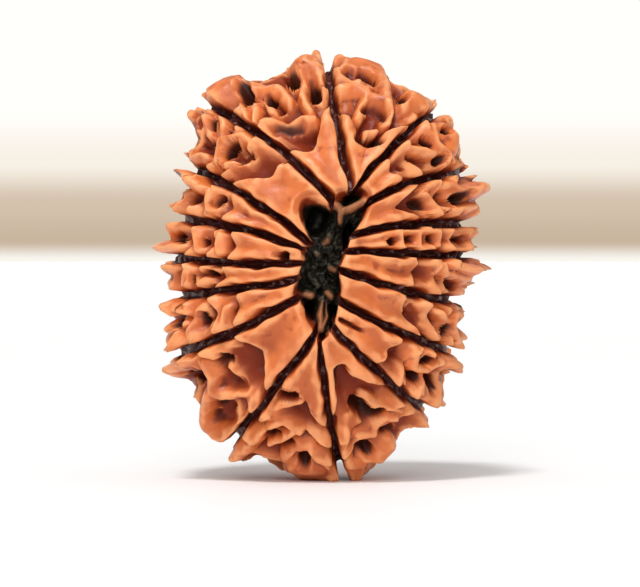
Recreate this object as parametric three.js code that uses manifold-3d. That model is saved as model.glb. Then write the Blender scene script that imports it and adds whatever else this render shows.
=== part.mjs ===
// A rudraksha seed: the stone of an Elaeocarpus fruit, one woody piece, about 32 mm tall.
// It stands on its rim, with the stem end of its axis facing -Y. Sixteen grooves run over it
// from a deep slot at that end to a small pit at the other. Between two grooves lies a segment,
// whose two lips rise in steps that end in horns, with pits behind them.
// Millimetres, +Z up, origin under the middle of the seed, on the surface that it stands on.
import * as THREE from "three";
import { mergeVertices } from "three/addons/utils/BufferGeometryUtils.js";
import Module from "manifold-3d";

// Driving dimensions
const REST_HEIGHT = 15.9; // the seed's middle above the surface it stands on
const SHIFT_X = -0.05; // from the grooves' own origin to the middle of the finished seed
const SHIFT_Y = -0.22;
const FRONT_DEPTH = 9.7; // from the equator to the slot end
const BACK_DEPTH = 9.3;
const BODY_HALF = [11, 9.6, 14.6]; // half sizes of the body without its relief
const SLOT_DEPTH = 2.4;
const BACK_PIT_DEPTH = 1.1;
const BACK_RING = [1.5, 2.3]; // half sizes of the ring where the grooves meet at the far end
const GROOVE_HALF_WIDTH = [0.33, 0.4]; // at the slot and at the equator
const GROOVE_DEPTH = [1.4, 0.6];
const WAVES = [0.16, 0.1]; // how much a groove's width varies, slowly and quickly, as shares of it
const SERRATION = 0.3; // how much wider a groove is at the foot of a step
const SQUEEZE = 0.1; // how much narrower it is at a horn
const SECTION_FULLNESS = 0.9; // below 1, the seed is fuller than an ellipsoid seen from the side
const EQUATOR_WAVES = [[3, 0.7, 1.0], [5, 0.4, 2.0]]; // [waves round the seed, height, phase]
const STEP_FALL = 0.018; // share of a half meridian over which a step drops behind its horn
const STEP_GAP = 0.07; // the least share of a half meridian between two steps' ends
const LAST_PLACE = 0.97; // the share of a half meridian where the last horns end
const MERIDIAN = 14; // the length of a half meridian
const LIP_INSIDE = 0.1; // from a groove to the lip beside it, as a share of the segment
const LIP_FOOT = 0.05; // height of the lips and of the hollow between them at a step's foot
const HOLLOW_FOOT = -0.45;
const FIRST_FOOT = 0.6; // height at the first step's foot, as a share of its horn's
const HOLLOW_END = 0.35; // height of the hollow at a step's end, as a share of its horn's
const FIRST_HOLLOW = 0.5;
const LIP_CREST = 0.35; // from a groove's edge to where its lip is highest
const LIP_SPREAD = 0.75;
const EQUATOR_LIPS = 0.8;
const EQUATOR_HOLLOW = -0.1;
const LEAN = 0.8; // how far horns lean away from their own end of the seed
const WOBBLE = 0.16;
const INSETS = { 14: 0.09 }; // segments whose first edge stands back from the slot

// Where each groove starts at the slot, passes half way, and turns over the rim: [x, z]
const GROOVES = [
  { start: [2.1, 5.7], middle: [1.1, 10.2], rim: [0.4, 14.9] },
  { start: [2.6, 6.0], middle: [5.7, 9.4], rim: [8.5, 11.5] },
  { start: [3.4, 4.6], middle: [6.8, 6.3], rim: [10.7, 6.9] },
  { start: [2.2, 2.4], middle: [6.2, 3.1], rim: [10.8, 3.2] },
  { start: [1.8, 1.3], middle: [6.1, 1.0], rim: [10.9, 0.7] },
  { start: [1.3, -0.1], middle: [5.4, -1.6], rim: [9.9, -2.6] },
  { start: [1.3, -2.4], middle: [5.3, -4.6], rim: [9.8, -6.4] },
  { start: [0.9, -4.3], middle: [4.2, -7.8], rim: [7.9, -10.8] },
  { start: [-0.1, -5.6], middle: [0.4, -10.3], rim: [1.4, -15.0] },
  { start: [-0.5, -4.8], middle: [-3.4, -8.7], rim: [-6.7, -13.1] },
  { start: [-1.9, -2.3], middle: [-6.1, -4.5], rim: [-11.0, -6.8] },
  { start: [-1.9, -0.8], middle: [-6.1, -1.6], rim: [-10.9, -2.2] },
  { start: [-1.6, 0.2], middle: [-6.3, 0.4], rim: [-11.3, 0.6] },
  { start: [-1.4, 1.4], middle: [-5.9, 2.8], rim: [-10.6, 3.5] },
  { start: [-1.0, 1.9], middle: [-5.2, 5.1], rim: [-9.6, 7.2] },
  { start: [0.7, 4.8], middle: [-3.6, 9.0], rim: [-8.6, 12.0] },
];

// The segment after each groove, on the slot side, has four steps. Each row is the horn on the
// step's near lip as x, z and height over the body, the horn on its far lip, and how far the
// step's edge draws back between them.
const STEPS = [
  [
    [2.0, 12.1, 0.9, 6.1, 11.1, 0.9, 2.6],
    [1.4, 13.5, 0.8, 6.8, 11.6, 0.8, 0.4],
    [1.3, 14.9, 1.1, 7.7, 12.0, 1.0, 0.5],
    [1.6, 15.9, 1.2, 8.6, 12.3, 1.2, 0.8],
  ],
  [
    [5.0, 7.9, 0.9, 5.9, 6.5, 0.9, 0.4],
    [6.4, 9.3, 0.9, 7.6, 7.2, 0.8, 0.6],
    [7.9, 10.6, 1.0, 9.5, 7.5, 1.0, 0.8],
    [9.3, 11.0, 0.8, 10.6, 7.4, 0.9, 0.3],
  ],
  [
    [7.7, 5.9, 0.9, 8.3, 3.9, 0.9, 2.8],
    [8.9, 6.2, 0.9, 9.2, 3.8, 0.8, 0.8],
    [10.4, 5.9, 1.1, 10.4, 3.7, 1.0, 0.8],
    [12.1, 6.1, 1.9, 11.7, 3.1, 1.2, 0.8],
  ],
  [
    [5.9, 2.6, 0.6, 6.0, 1.4, 0.6, 0.1],
    [8.2, 2.6, 0.7, 8.4, 1.4, 0.7, 0.2],
    [10.1, 2.6, 0.9, 10.0, 1.5, 0.8, 0.2],
    [11.2, 2.6, 0.7, 11.1, 1.4, 0.7, 0.3],
  ],
  [
    [7.1, 0.5, 0.8, 7.0, -1.4, 0.8, 0.15],
    [8.8, 0.3, 0.9, 8.9, -2.0, 0.9, 0.35],
    [10.4, 0.2, 1.2, 9.6, -2.2, 0.9, 0.5],
    [12.9, -0.2, 2.5, 10.2, -2.4, 0.5, 0.8],
  ],
  [
    [6.1, -2.3, 0.8, 7.6, -5.0, 0.9, 0.7],
    [8.0, -3.0, 0.9, 8.9, -5.5, 1.0, 0.5],
    [9.5, -3.3, 1.0, 9.9, -5.9, 1.1, 0.5],
    [10.5, -3.6, 0.9, 10.8, -6.0, 1.2, 0.4],
  ],
  [
    [6.1, -5.8, 0.9, 4.2, -7.2, 0.9, 0.5],
    [7.6, -6.5, 0.9, 5.8, -8.8, 0.9, 0.8],
    [8.7, -6.9, 1.1, 7.2, -9.7, 1.0, 0.8],
    [10.4, -7.4, 1.4, 9.0, -10.3, 1.1, 0.8],
  ],
  [
    [4.5, -9.6, 0.9, 1.4, -11.5, 0.8, 3.0],
    [5.9, -10.7, 0.9, 1.6, -13.0, 0.9, 0.9],
    [6.8, -11.2, 1.0, 1.8, -14.2, 1.0, 0.9],
    [8.3, -11.8, 1.2, 2.0, -16.4, 1.6, 1.0],
  ],
  [
    [-0.3, -12.3, 0.9, -2.6, -8.9, 0.8, 0.8],
    [-0.1, -13.4, 0.9, -4.6, -11.6, 0.8, 1.2],
    [0.4, -14.9, 1.5, -5.6, -13.1, 1.0, 0.8],
    [0.6, -16.6, 2.0, -7.0, -14.3, 1.7, 0.6],
  ],
  [
    [-4.4, -9.2, 0.9, -6.3, -5.9, 0.8, 1.2],
    [-5.3, -10.6, 0.9, -9.1, -6.8, 1.0, 1.0],
    [-6.0, -11.9, 1.0, -10.3, -7.0, 1.1, 0.8],
    [-7.4, -13.1, 0.8, -12.1, -7.5, 1.8, 0.8],
  ],
  [
    [-6.5, -4.1, 0.9, -6.2, -2.4, 0.8, 0.1],
    [-8.2, -4.9, 1.0, -8.6, -2.5, 0.9, 0.7],
    [-9.9, -5.2, 1.2, -10.6, -2.6, 1.2, 0.6],
    [-11.9, -5.4, 1.8, -12.2, -2.9, 2.0, 0.8],
  ],
  [
    [-8.4, -1.3, 0.8, -7.2, -0.1, 0.7, 0.7],
    [-9.3, -1.4, 0.8, -9.3, 0.0, 0.8, 0.3],
    [-10.3, -1.5, 1.0, -10.4, 0.0, 1.0, 0.3],
    [-11.4, -1.7, 0.9, -12.1, 0.1, 1.3, 0.5],
  ],
  [
    [-7.1, 0.9, 0.8, -6.5, 2.2, 0.8, 0.3],
    [-8.6, 1.2, 0.9, -8.3, 2.6, 0.8, 0.5],
    [-10.4, 1.2, 1.1, -9.8, 2.7, 0.9, 0.4],
    [-12.6, 1.3, 1.9, -11.3, 3.1, 1.0, 0.5],
  ],
  [
    [-7.6, 3.9, 0.8, -6.9, 5.4, 0.8, 0.4],
    [-8.9, 4.1, 0.9, -8.4, 5.9, 0.8, 0.5],
    [-10.0, 4.4, 1.1, -9.7, 6.4, 1.1, 0.4],
    [-11.3, 4.7, 1.5, -11.2, 7.1, 2.1, 0.8],
  ],
  [
    [-6.7, 7.1, 0.9, -3.0, 7.5, 1.0, 1.0],
    [-7.6, 7.6, 0.9, -4.8, 9.7, 0.9, 0.7],
    [-8.7, 7.9, 1.0, -6.3, 10.8, 0.9, 0.5],
    [-9.9, 8.2, 0.7, -8.4, 12.0, 0.5, 0.4],
  ],
  [
    [-2.4, 9.1, 0.9, 0.2, 12.2, 0.9, 1.8],
    [-4.4, 10.9, 0.9, 0.0, 13.2, 0.9, 0.3],
    [-6.1, 12.2, 1.1, 0.0, 14.6, 1.1, 0.5],
    [-8.8, 13.3, 1.3, -0.3, 16.1, 1.3, 0.9],
  ],
];

// The larger ridges on the slot side: radius, then points as x, z and height
const RIDGES = [
  [0.6, [-8.4, 13.2, 1.5], [-7.2, 13.8, 1.6], [-6.1, 14.0, 1.6], [-5.3, 13.6, 1.3]],
  [0.5, [-5.3, 13.6, 1.3], [-4.2, 13.2, 1.1], [-3.3, 13.2, 1.2], [-2.6, 12.5, 1.0]],
  [0.7, [-2.2, 15.0, 1.2], [-1.1, 15.5, 1.6], [-0.4, 15.3, 1.5]],
  [0.6, [1.8, 15.4, 1.2], [3.0, 15.3, 1.3], [4.3, 14.7, 1.2], [4.8, 13.4, 1.2], [5.0, 12.3, 1.0]],
  [0.8, [6.6, 12.6, 1.4], [7.8, 12.3, 1.2]],
  [0.6, [9.2, 10.5, 1.2], [9.9, 9.6, 1.3], [9.9, 8.7, 1.2]],
  [0.5, [3.3, -14.6, 0.9], [4.2, -14.2, 1.1], [5.1, -13.3, 1.1]],
  [0.7, [-6.0, -14.0, 1.3], [-6.4, -14.2, 1.6]],
  [0.5, [-2.9, -14.4, 0.9], [-1.9, -13.4, 0.8], [-0.8, -13.5, 0.9]],
  [0.8, [-10.3, -7.0, 1.2], [-11.3, -7.6, 1.7]],
  [1.1, [-2.4, -15.3, 1.1], [0.0, -15.9, 1.3]],
  [1.1, [2.4, -15.9, 1.3], [3.2, -15.6, 1.1]],
];

// The larger pits and valleys on the slot side: radius, depth, then two points as x and z
const PITS = [
  [0.6, 1.3, [-5.7, 12.9], [-5.5, 12.4]],
  [0.9, 0.1, [-3.2, 10.0], [-1.8, 10.1]],
  [0.6, 1.4, [-6.9, 8.5], [-6.6, 8.9]],
  [0.7, 0.3, [3.4, 11.6], [4.3, 11.2]],
  [0.6, 0.8, [6.9, 4.7], [7.4, 4.7]],
  [0.6, 0.2, [6.5, -3.0], [6.7, -3.6]],
  [0.6, 0.7, [1.4, -7.6], [1.6, -9.2]],
  [0.65, 1.5, [2.6, -10.2], [3.2, -10.7]],
  [0.9, 0.1, [-7.0, -8.4], [-6.0, -8.5]],
  [0.8, 0.3, [-7.6, -11.2], [-6.9, -11.0]],
  [0.7, 1.4, [-10.2, -8.2], [-9.3, -8.3]],
  [1.2, 0.7, [-4.9, 14.7], [-3.7, 15.0]],
  [0.8, 0.6, [5.7, 14.0], [5.9, 14.2]],
  [0.9, 0.8, [6.3, -12.9], [6.9, -13.2]],
  [0.7, 0.4, [-10.5, 6.0], [-10.9, 6.0]],
  [0.7, 0.6, [-4.6, -14.9], [-4.2, -15.4]],
];
const COUNT = GROOVES.length;

// Half a segment's width at the rim
const SPREAD = GROOVES.map(({ rim }, k) => {
  const next = GROOVES[(k + 1) % COUNT].rim;
  return Math.hypot(rim[0] - next[0], rim[1] - next[1]) / 2;
});

// The far side's segments follow the same pattern, with their steps drawn at random
const BACK_SEED = 7;
const BACK_PLACES = [0.22, 0.42, 0.6, 0.77, 0.92];
const BACK_HEIGHTS = [0.7, 0.9, 1.1, 1.0, 0.7];
const BACK_PLACE_SPREAD = 0.12;
const BACK_HEIGHT_SPREAD = 0.5;
const BACK_NOTCH = [0.15, 0.45]; // least and most of a segment's half width
const EQUATOR_SEED = 21;

// Knobs on the far side that the seed also stands on: [segment, across, place, radius, height]
const BACK_FEET = [[8, -0.55, 0.84, 1.2, 1.0], [7, 0.5, 0.85, 1.2, 1.1], [8, 0.05, 0.88, 1.2, 1.3]];

const clamp = THREE.MathUtils.clamp;
const mix = THREE.MathUtils.lerp;
const ease = THREE.MathUtils.smoothstep;

// A repeatable row of random numbers from 0 to 1
function randomRow(seed) {
  let state = seed;
  return () => {
    state = (Math.imul(state, 1664525) + 1013904223) >>> 0;
    return state / 4294967296;
  };
}

function backSegments() {
  const draw = randomRow(BACK_SEED);
  const lip = () =>
    BACK_PLACES.map((place, i) => [
      place + (i < BACK_PLACES.length - 1 ? BACK_PLACE_SPREAD * (draw() - 0.5) : 0),
      BACK_HEIGHTS[i] * (1 + BACK_HEIGHT_SPREAD * (draw() - 0.5)),
    ]);
  const mark = (atPlace) => {
    const across = 1.5 * (draw() - 0.5);
    const place = atPlace + 0.02 + 0.1 * draw();
    const radius = 0.3 + 0.35 * draw();
    return [across, place, radius, draw() < 0.65 ? 0.5 + 0.9 * draw() : -0.4 - 0.4 * draw()];
  };
  const segments = SPREAD.map((spread) => ({
    near: lip(),
    far: lip(),
    notch: BACK_PLACES.map(() => spread * mix(...BACK_NOTCH, draw())),
    pits: BACK_PLACES.flatMap((place) =>
      Array.from({ length: Math.max(1, Math.round(spread / 1.1)) }, () => mark(place)),
    ),
  }));
  for (const [k, across, place, radius, height] of BACK_FEET)
    segments[k].pits.push([across, place, radius, -height]);
  return segments;
}

// Pits and knobs on the equator, which both halves share: [across, past it, radius, depth]
function equatorMarks() {
  const draw = randomRow(EQUATOR_SEED);
  return SPREAD.map((spread) =>
    Array.from({ length: Math.max(1, Math.round(spread / 0.9)) }, (none, i) => [
      1.6 * (draw() - 0.5),
      0.06 * (draw() - 0.5),
      0.35 + 0.4 * draw(),
      i % 2 === 0 ? 0.5 + 0.6 * draw() : -0.3 - 0.4 * draw(),
    ]),
  );
}

// A closed Catmull-Rom curve through points, at a place counted in points
function onRing(points, place) {
  const i = Math.floor(place);
  const f = place - i;
  const at = (k) => points[((i + k) % COUNT + COUNT) % COUNT];
  return [0, 1].map((c) => {
    const [a, b, d, e] = [at(-1)[c], at(0)[c], at(1)[c], at(2)[c]];
    return 0.5 * (2 * b + (d - a) * f + (2 * a - 5 * b + 4 * d - e) * f * f + (3 * b - a - 3 * d + e) * f ** 3);
  });
}

// One half of the seed: its rings of groove points, its depth and its segments
function makeHalf(side, start, middle, depth, segments) {
  const rim = GROOVES.map((g) => g.rim);
  // The point that makes a quadratic curve pass through the middle
  const pull = middle.map((m, k) => m.map((v, c) => 2 * v - (start[k][c] + rim[k][c]) / 2));
  return { side, start, pull, rim, depth, segments };
}

const backStart = GROOVES.map((g) => {
  const length = Math.hypot(g.rim[0] / BODY_HALF[0], g.rim[1] / BODY_HALF[2]);
  return [
    (g.rim[0] / BODY_HALF[0] / length) * BACK_RING[0],
    (g.rim[1] / BODY_HALF[2] / length) * BACK_RING[1],
  ];
});
const FRONT = makeHalf(-1, GROOVES.map((g) => g.start), GROOVES.map((g) => g.middle), FRONT_DEPTH, []);
const BACK = makeHalf(
  1,
  backStart,
  GROOVES.map((g, k) => g.rim.map((v, c) => (v + backStart[k][c]) / 2)),
  BACK_DEPTH,
  backSegments(),
);

// The equator isn't quite flat
function equatorShift(place) {
  const turn = (2 * Math.PI * place) / COUNT;
  return EQUATOR_WAVES.reduce((sum, [waves, height, phase]) => sum + height * Math.sin(waves * turn + phase), 0);
}

// The body's surface without relief, at a groove place and a share of the half meridian
function bodyPoint(half, place, share) {
  const start = onRing(half.start, place);
  const pull = onRing(half.pull, place);
  const rim = onRing(half.rim, place);
  const inner = Math.min(0.6, Math.hypot(...start) / Math.hypot(...rim));
  const from = Math.asin(inner);
  const angle = from + (Math.PI / 2 - from) * share;
  const along = (Math.sin(angle) - inner) / (1 - inner);
  const [x, z] = [0, 1].map(
    (c) => start[c] * (1 - along) ** 2 + 2 * pull[c] * along * (1 - along) + rim[c] * along ** 2,
  );
  const y = half.side * half.depth * Math.cos(angle) ** SECTION_FULLNESS;
  return new THREE.Vector3(x, y + equatorShift(place) * share ** 3, z);
}

// The way the relief stands: outwards, and leaning away from this half's end of the seed
function reliefDirection(half, place, share) {
  const p = bodyPoint(half, place, share);
  const [a, b, c] = BODY_HALF;
  const out = new THREE.Vector3(p.x / a ** 2, p.y / b ** 2, p.z / c ** 2).normalize();
  const start = onRing(half.start, place);
  const rim = onRing(half.rim, place);
  const away = new THREE.Vector3(rim[0] - start[0], 0, rim[1] - start[1]).normalize();
  const lean = LEAN * ease(share, 0, 0.2) * (1 - share ** 3);
  return out.addScaledVector(away, lean).normalize();
}

// Half the distance between a segment's two grooves
function halfWidth(half, k, share) {
  return bodyPoint(half, k, share).distanceTo(bodyPoint(half, k + 1, share)) / 2;
}

// The share of a half meridian where a horn of this height shows at x, z from the slot end
function shareOf(half, place, [x, z, height]) {
  let [nearest, found] = [Infinity, 0];
  for (let share = 0.05; share < LAST_PLACE; share += 0.0025) {
    const p = bodyPoint(half, place, share);
    p.addScaledVector(reliefDirection(half, place, share), height);
    const miss = Math.hypot(p.x - x, p.z - z);
    if (miss < nearest) [nearest, found] = [miss, share];
  }
  return found;
}

function frontSegments(half) {
  const lip = (place, horns) => {
    const made = horns.map((horn) => [shareOf(half, place, horn), horn[2]]);
    for (let i = made.length - 2; i >= 0; i -= 1)
      made[i][0] = Math.min(made[i][0], made[i + 1][0] - STEP_GAP);
    return made;
  };
  return STEPS.map((steps, k) => ({
    near: lip(k + LIP_INSIDE, steps.map((step) => step.slice(0, 3))),
    far: lip(k + 1 - LIP_INSIDE, steps.map((step) => step.slice(3, 6))),
    notch: steps.map((step) => step[6]),
    pits: [],
    inset: INSETS[k] ?? 0,
  }));
}

FRONT.segments = frontSegments(FRONT);
for (const half of [FRONT, BACK])
  for (const [k, marks] of equatorMarks().entries())
    for (const [across, past, radius, depth] of marks)
      half.segments[k].pits.push([across, 1 + half.side * past, radius, depth]);

// Half a groove's width on one side of it: it narrows where a horn leans over it
function grooveHalfWidth(half, k, side, share, width) {
  const horns = half.segments[k][side < 0 ? "near" : "far"];
  let [start, rise] = [0, 0];
  for (const [place] of horns) {
    if (share >= start && share < place) rise = (share - start) / (place - start);
    start = place;
  }
  const later = ease(share, horns[0][0] - 0.02, horns[0][0] + 0.02);
  const slow = WAVES[0] * Math.sin(23 * share + 2.4 * k + 1.3 * side);
  const quick = WAVES[1] * Math.sin(51 * share + 4.1 * k - 2.2 * side);
  const wave = 1 + (slow + quick) * ease(share, 0, 0.15);
  const swell = SERRATION * (1 - rise) ** 2 * later - SQUEEZE * rise ** 3;
  return Math.min(Math.max(mix(...GROOVE_HALF_WIDTH, share) * wave + swell, 0.1), 0.4 * width);
}

// Where a segment's step number i ends, at a place across it from -1 to 1
function stepEnd(segment, i, across) {
  if (i === 0) return (segment.inset ?? 0) * (1 - across ** 2);
  const place = mix(segment.near[i - 1][0], segment.far[i - 1][0], (across + 1) / 2);
  return place - (segment.notch[i - 1] / MERIDIAN) * (1 - Math.abs(across) ** 2.5);
}

function hornHeight(segment, i, across) {
  if (i === 0) return 0.3;
  return mix(segment.near[i - 1][1], segment.far[i - 1][1], ease(across, -0.7, 0.7));
}

// The saw-tooth of steps along a meridian: a slow rise to each horn and a sharp drop behind it.
// Gives the lips' height and the height of the hollow between them.
function stepHeights(segment, across, share) {
  const steps = segment.near.length;
  let i = 1;
  while (i <= steps && share > stepEnd(segment, i, across)) i += 1;
  const start = stepEnd(segment, i - 1, across);
  const end = i > steps ? 1 : stepEnd(segment, i, across);
  const fall = ease(share, start, start + STEP_FALL);
  const rise = clamp((share - start - STEP_FALL) / (end - start - STEP_FALL), 0, 1);
  const horn = i > steps ? EQUATOR_LIPS : hornHeight(segment, i, across);
  const hollow = i > steps ? EQUATOR_HOLLOW : horn * (i === 1 ? FIRST_HOLLOW : HOLLOW_END);
  const before = hornHeight(segment, i - 1, across);
  const hollowBefore = before * [1, FIRST_HOLLOW, HOLLOW_END][Math.min(i - 1, 2)];
  const foot = i === 1 ? horn * FIRST_FOOT : Math.min(horn, LIP_FOOT);
  const hollowFoot = i === 1 ? horn * FIRST_FOOT : Math.min(hollow, HOLLOW_FOOT);
  return [
    mix(before, mix(foot, horn, rise ** 1.4), fall),
    mix(hollowBefore, mix(hollowFoot, hollow, rise ** (i === 1 ? 0.6 : 1.3)), fall),
  ];
}

function wobble(p) {
  return (
    WOBBLE *
    (Math.sin(1.3 * p.x + 0.7 * p.z + 0.4) * Math.sin(1.1 * p.y - 0.9 * p.z) +
      0.6 * Math.sin(2.3 * p.z + 1.7 * p.y + 1.1) * Math.sin(2.1 * p.x - 1.2 * p.y))
  );
}

// The depth of the pits at a point, less the height of the knobs
function pitDepth(half, k, width, across, share) {
  const arc = (Math.PI / 2) * Math.hypot(half.depth, 10) / Math.SQRT2;
  let [deepest, highest] = [0, 0];
  for (const [pitAcross, pitShare, radius, deep] of half.segments[k].pits) {
    const distance = Math.hypot((across - pitAcross) * width, (share - pitShare) * arc);
    const here = deep * (1 - ease(distance, 0.3 * radius, 1.1 * radius));
    deepest = Math.max(deepest, here);
    highest = Math.min(highest, here);
  }
  return deepest + highest;
}

// The distance of a point from a line between a and b, and the share of the line where it is
function distanceTo(x, z, a, b) {
  const [u, v] = [b[0] - a[0], b[1] - a[1]];
  const t = clamp(((x - a[0]) * u + (z - a[1]) * v) / Math.max(u * u + v * v, 1e-9), 0, 1);
  return [Math.hypot(x - a[0] - t * u, z - a[1] - t * v), t];
}

function smoothMax(a, b, blur) {
  return (a + b + Math.hypot(a - b, blur)) / 2;
}

// Raises the ridges and sinks the pits, which the far side takes over just past the equator
function withMarks(half, p, direction, share, height) {
  const weight = half.side < 0 ? 1 : ease(share, 0.8, 1);
  if (weight === 0) return height;
  let top = height;
  for (const [radius, ...chain] of RIDGES) {
    const ridge = chain.reduce((sum, at) => sum + at[2], 0) / chain.length;
    const [x, z] = [p.x + ridge * direction.x, p.z + ridge * direction.z];
    let best = -9;
    for (let i = 1; i < chain.length; i += 1) {
      const [d, t] = distanceTo(x, z, chain[i - 1], chain[i]);
      best = Math.max(best, mix(chain[i - 1][2], chain[i][2], t) - 1.2 * radius * (d / radius) ** 2);
    }
    top = smoothMax(top, best, 0.14);
  }
  for (const [radius, depth, a, b] of PITS) {
    const brim = clamp(top, 0, 0.9);
    const [d] = distanceTo(p.x + brim * direction.x, p.z + brim * direction.z, a, b);
    const bowl = -depth + (depth + 0.9) * (d / (1.05 * radius)) ** 3;
    top = -smoothMax(-top, -bowl, 0.1);
  }
  return mix(height, top, weight);
}

// Height of the surface over the body, at a distance from the nearest groove
function relief(half, k, across, share) {
  const width = halfWidth(half, k, share);
  const groove = grooveHalfWidth(half, k, across, share, width);
  const distance = (1 - Math.abs(across)) * width;
  const place = k + (across + 1) / 2;
  const point = bodyPoint(half, place, share);
  const [lips, hollow] = stepHeights(half.segments[k], across, share);
  const fit = Math.min(1, width / 2);
  const over = distance - groove;
  const crest = LIP_CREST * fit;
  const lip = over < crest
    ? lips * mix(0.75, 1, Math.sin((Math.PI / 2) * clamp(over / crest, 0, 1)))
    : mix(hollow, lips, Math.exp(-(((over - crest) / (LIP_SPREAD * fit)) ** 2)));
  const height = lip - pitDepth(half, k, width, across, share) + wobble(point);
  const floor = -Math.min(mix(...GROOVE_DEPTH, share ** 2), 1.3 * width);
  const top = Math.max(
    withMarks(half, point, reliefDirection(half, place, share), share, height),
    floor - 0.5,
  );
  return mix(floor, top, ease(distance, 0.6 * groove, groove + 0.06));
}

// Rows of the mesh: a few on each step's rise, one on its horn and one at the foot behind it
const RISE_ROWS = [0, 0.42, 0.78];
const BACK_RISE_ROWS = [0, 0.6];
function rowShares(half, k, across) {
  const segment = half.segments[k];
  const rises = half.side < 0 ? RISE_ROWS : BACK_RISE_ROWS;
  const shares = [stepEnd(segment, 0, across)];
  for (let i = 1; i <= segment.near.length; i += 1) {
    const start = stepEnd(segment, i - 1, across) + STEP_FALL;
    const end = stepEnd(segment, i, across);
    for (const rise of rises) shares.push(mix(start, end, rise));
    shares.push(end);
  }
  shares.push(stepEnd(segment, segment.near.length, across) + STEP_FALL);
  return shares;
}

// Columns of the mesh over half a segment, from its groove's edge at 0 to its middle at 1
const WIDE_COLUMNS = [0.05, 0.18, 0.42, 0.72];
const NARROW_COLUMNS = [0.06, 0.32];
const WIDE_FROM = 2.2;

// All columns, as [segment, inward, side], the groove itself having no inward
const COLUMNS = GROOVES.flatMap((groove, k) => {
  const half = SPREAD[k] > WIDE_FROM ? WIDE_COLUMNS : NARROW_COLUMNS;
  return [
    [k, null, -1],
    ...half.map((inward) => [k, inward, -1]),
    [k, 1, -1],
    ...half.toReversed().map((inward) => [k, inward, 1]),
  ];
});

function acrossAt(half, k, inward, side, share) {
  if (inward === null) return -1;
  const width = halfWidth(half, k, share);
  const groove = grooveHalfWidth(half, k, side, share, width);
  return side * (1 - (groove + inward * (width - groove)) / width);
}

function columnShares(half, k, inward, side) {
  if (inward !== null) return rowShares(half, k, side * (1 - inward));
  const before = rowShares(half, (k + COUNT - 1) % COUNT, 1);
  return rowShares(half, k, -1).map((share, row) => (share + before[row]) / 2);
}

function surfacePoint(half, k, across, share) {
  const place = k + (across + 1) / 2;
  return bodyPoint(half, place, share).addScaledVector(
    reliefDirection(half, place, share),
    relief(half, k, across, share),
  );
}

// The rings of one half, from its opening out to the last foot before the equator
function halfRings(half) {
  const rings = [];
  for (const [k, inward, side] of COLUMNS)
    columnShares(half, k, inward, side).forEach((share, row) => {
      rings[row] ??= [];
      rings[row].push(surfacePoint(half, k, acrossAt(half, k, inward, side, share), share));
    });
  return rings;
}

// Rings that lead down from the opening to its floor: [share of the opening, depth]
function openingRings(half, rim, profile) {
  const middle = rim.reduce((sum, p) => sum.add(p), new THREE.Vector3()).divideScalar(rim.length);
  const top = half.side * half.depth;
  const rings = profile.map(([share, depth]) =>
    rim.map((p) => {
      const q = middle.clone().lerp(p, share);
      const level = top - half.side * depth;
      q.y = half.side * Math.min(half.side * level, half.side * p.y - 0.3 * depth);
      return q;
    }),
  );
  middle.y = top - half.side * profile.at(-1)[1];
  return { rings, middle };
}

function seedGeometry() {
  const front = halfRings(FRONT);
  const back = halfRings(BACK);
  const equator = COLUMNS.map(([k, inward, side]) =>
    surfacePoint(FRONT, k, acrossAt(FRONT, k, inward, side, 1), 1),
  );
  const slot = openingRings(FRONT, front[0], [[0.93, 0.7], [0.85, 1.6], [0.5, SLOT_DEPTH]]);
  const pit = openingRings(BACK, back[0], [[0.85, 0.5], [0.5, BACK_PIT_DEPTH]]);
  const rings = [
    ...slot.rings.toReversed(),
    ...front,
    equator,
    ...back.toReversed(),
    ...pit.rings,
  ];
  const columns = equator.length;
  const points = [...rings.flat(), slot.middle, pit.middle];
  const faces = [];
  for (let row = 0; row + 1 < rings.length; row += 1)
    for (let c = 0; c < columns; c += 1) {
      const next = (c + 1) % columns;
      const [a, b] = [row * columns + c, row * columns + next];
      faces.push(a, b, b + columns, a, b + columns, a + columns);
    }
  const last = (rings.length - 1) * columns;
  for (let c = 0; c < columns; c += 1) {
    const next = (c + 1) % columns;
    faces.push(points.length - 2, next, c, points.length - 1, last + c, last + next);
  }
  const geometry = new THREE.BufferGeometry().setFromPoints(points);
  return geometry.setIndex(faces);
}

const wasm = await Module();
wasm.setup();

function solidOf(geometry) {
  const bare = geometry.clone();
  bare.deleteAttribute("normal");
  bare.deleteAttribute("uv");
  const merged = mergeVertices(bare, 1e-4);
  return new wasm.Manifold(
    new wasm.Mesh({
      numProp: 3,
      vertProperties: merged.attributes.position.array,
      triVerts: new Uint32Array(merged.index.array),
    }),
  );
}

function geometryOf(solid) {
  const mesh = solid.getMesh();
  return new THREE.BufferGeometry()
    .setAttribute("position", new THREE.BufferAttribute(mesh.vertProperties, 3))
    .setIndex(new THREE.BufferAttribute(mesh.triVerts, 1));
}

// The seed stands on the flat spot that this cut leaves on its lowest lips
function flatSpot() {
  const size = 40;
  const block = new THREE.BoxGeometry(size, size, size);
  return block.translate(0, 0, -REST_HEIGHT - size / 2);
}

const seed = geometryOf(solidOf(seedGeometry()).subtract(solidOf(flatSpot())));
seed.translate(-SHIFT_X, -SHIFT_Y, REST_HEIGHT);
seed.computeVertexNormals();

const mesh = new THREE.Mesh(
  seed,
  new THREE.MeshStandardMaterial({ color: 0xc8703c, roughness: 0.45, metalness: 0 }),
);
mesh.name = "rudraksha_seed";

const group = new THREE.Group();
group.add(mesh);
export default group;
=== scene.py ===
# The look of a rudraksha seed: the relief formula of its solid at a finer grain, with the skin's
# small bumps, the strands in its slot, and its materials, light, floor and camera.
import math

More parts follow.
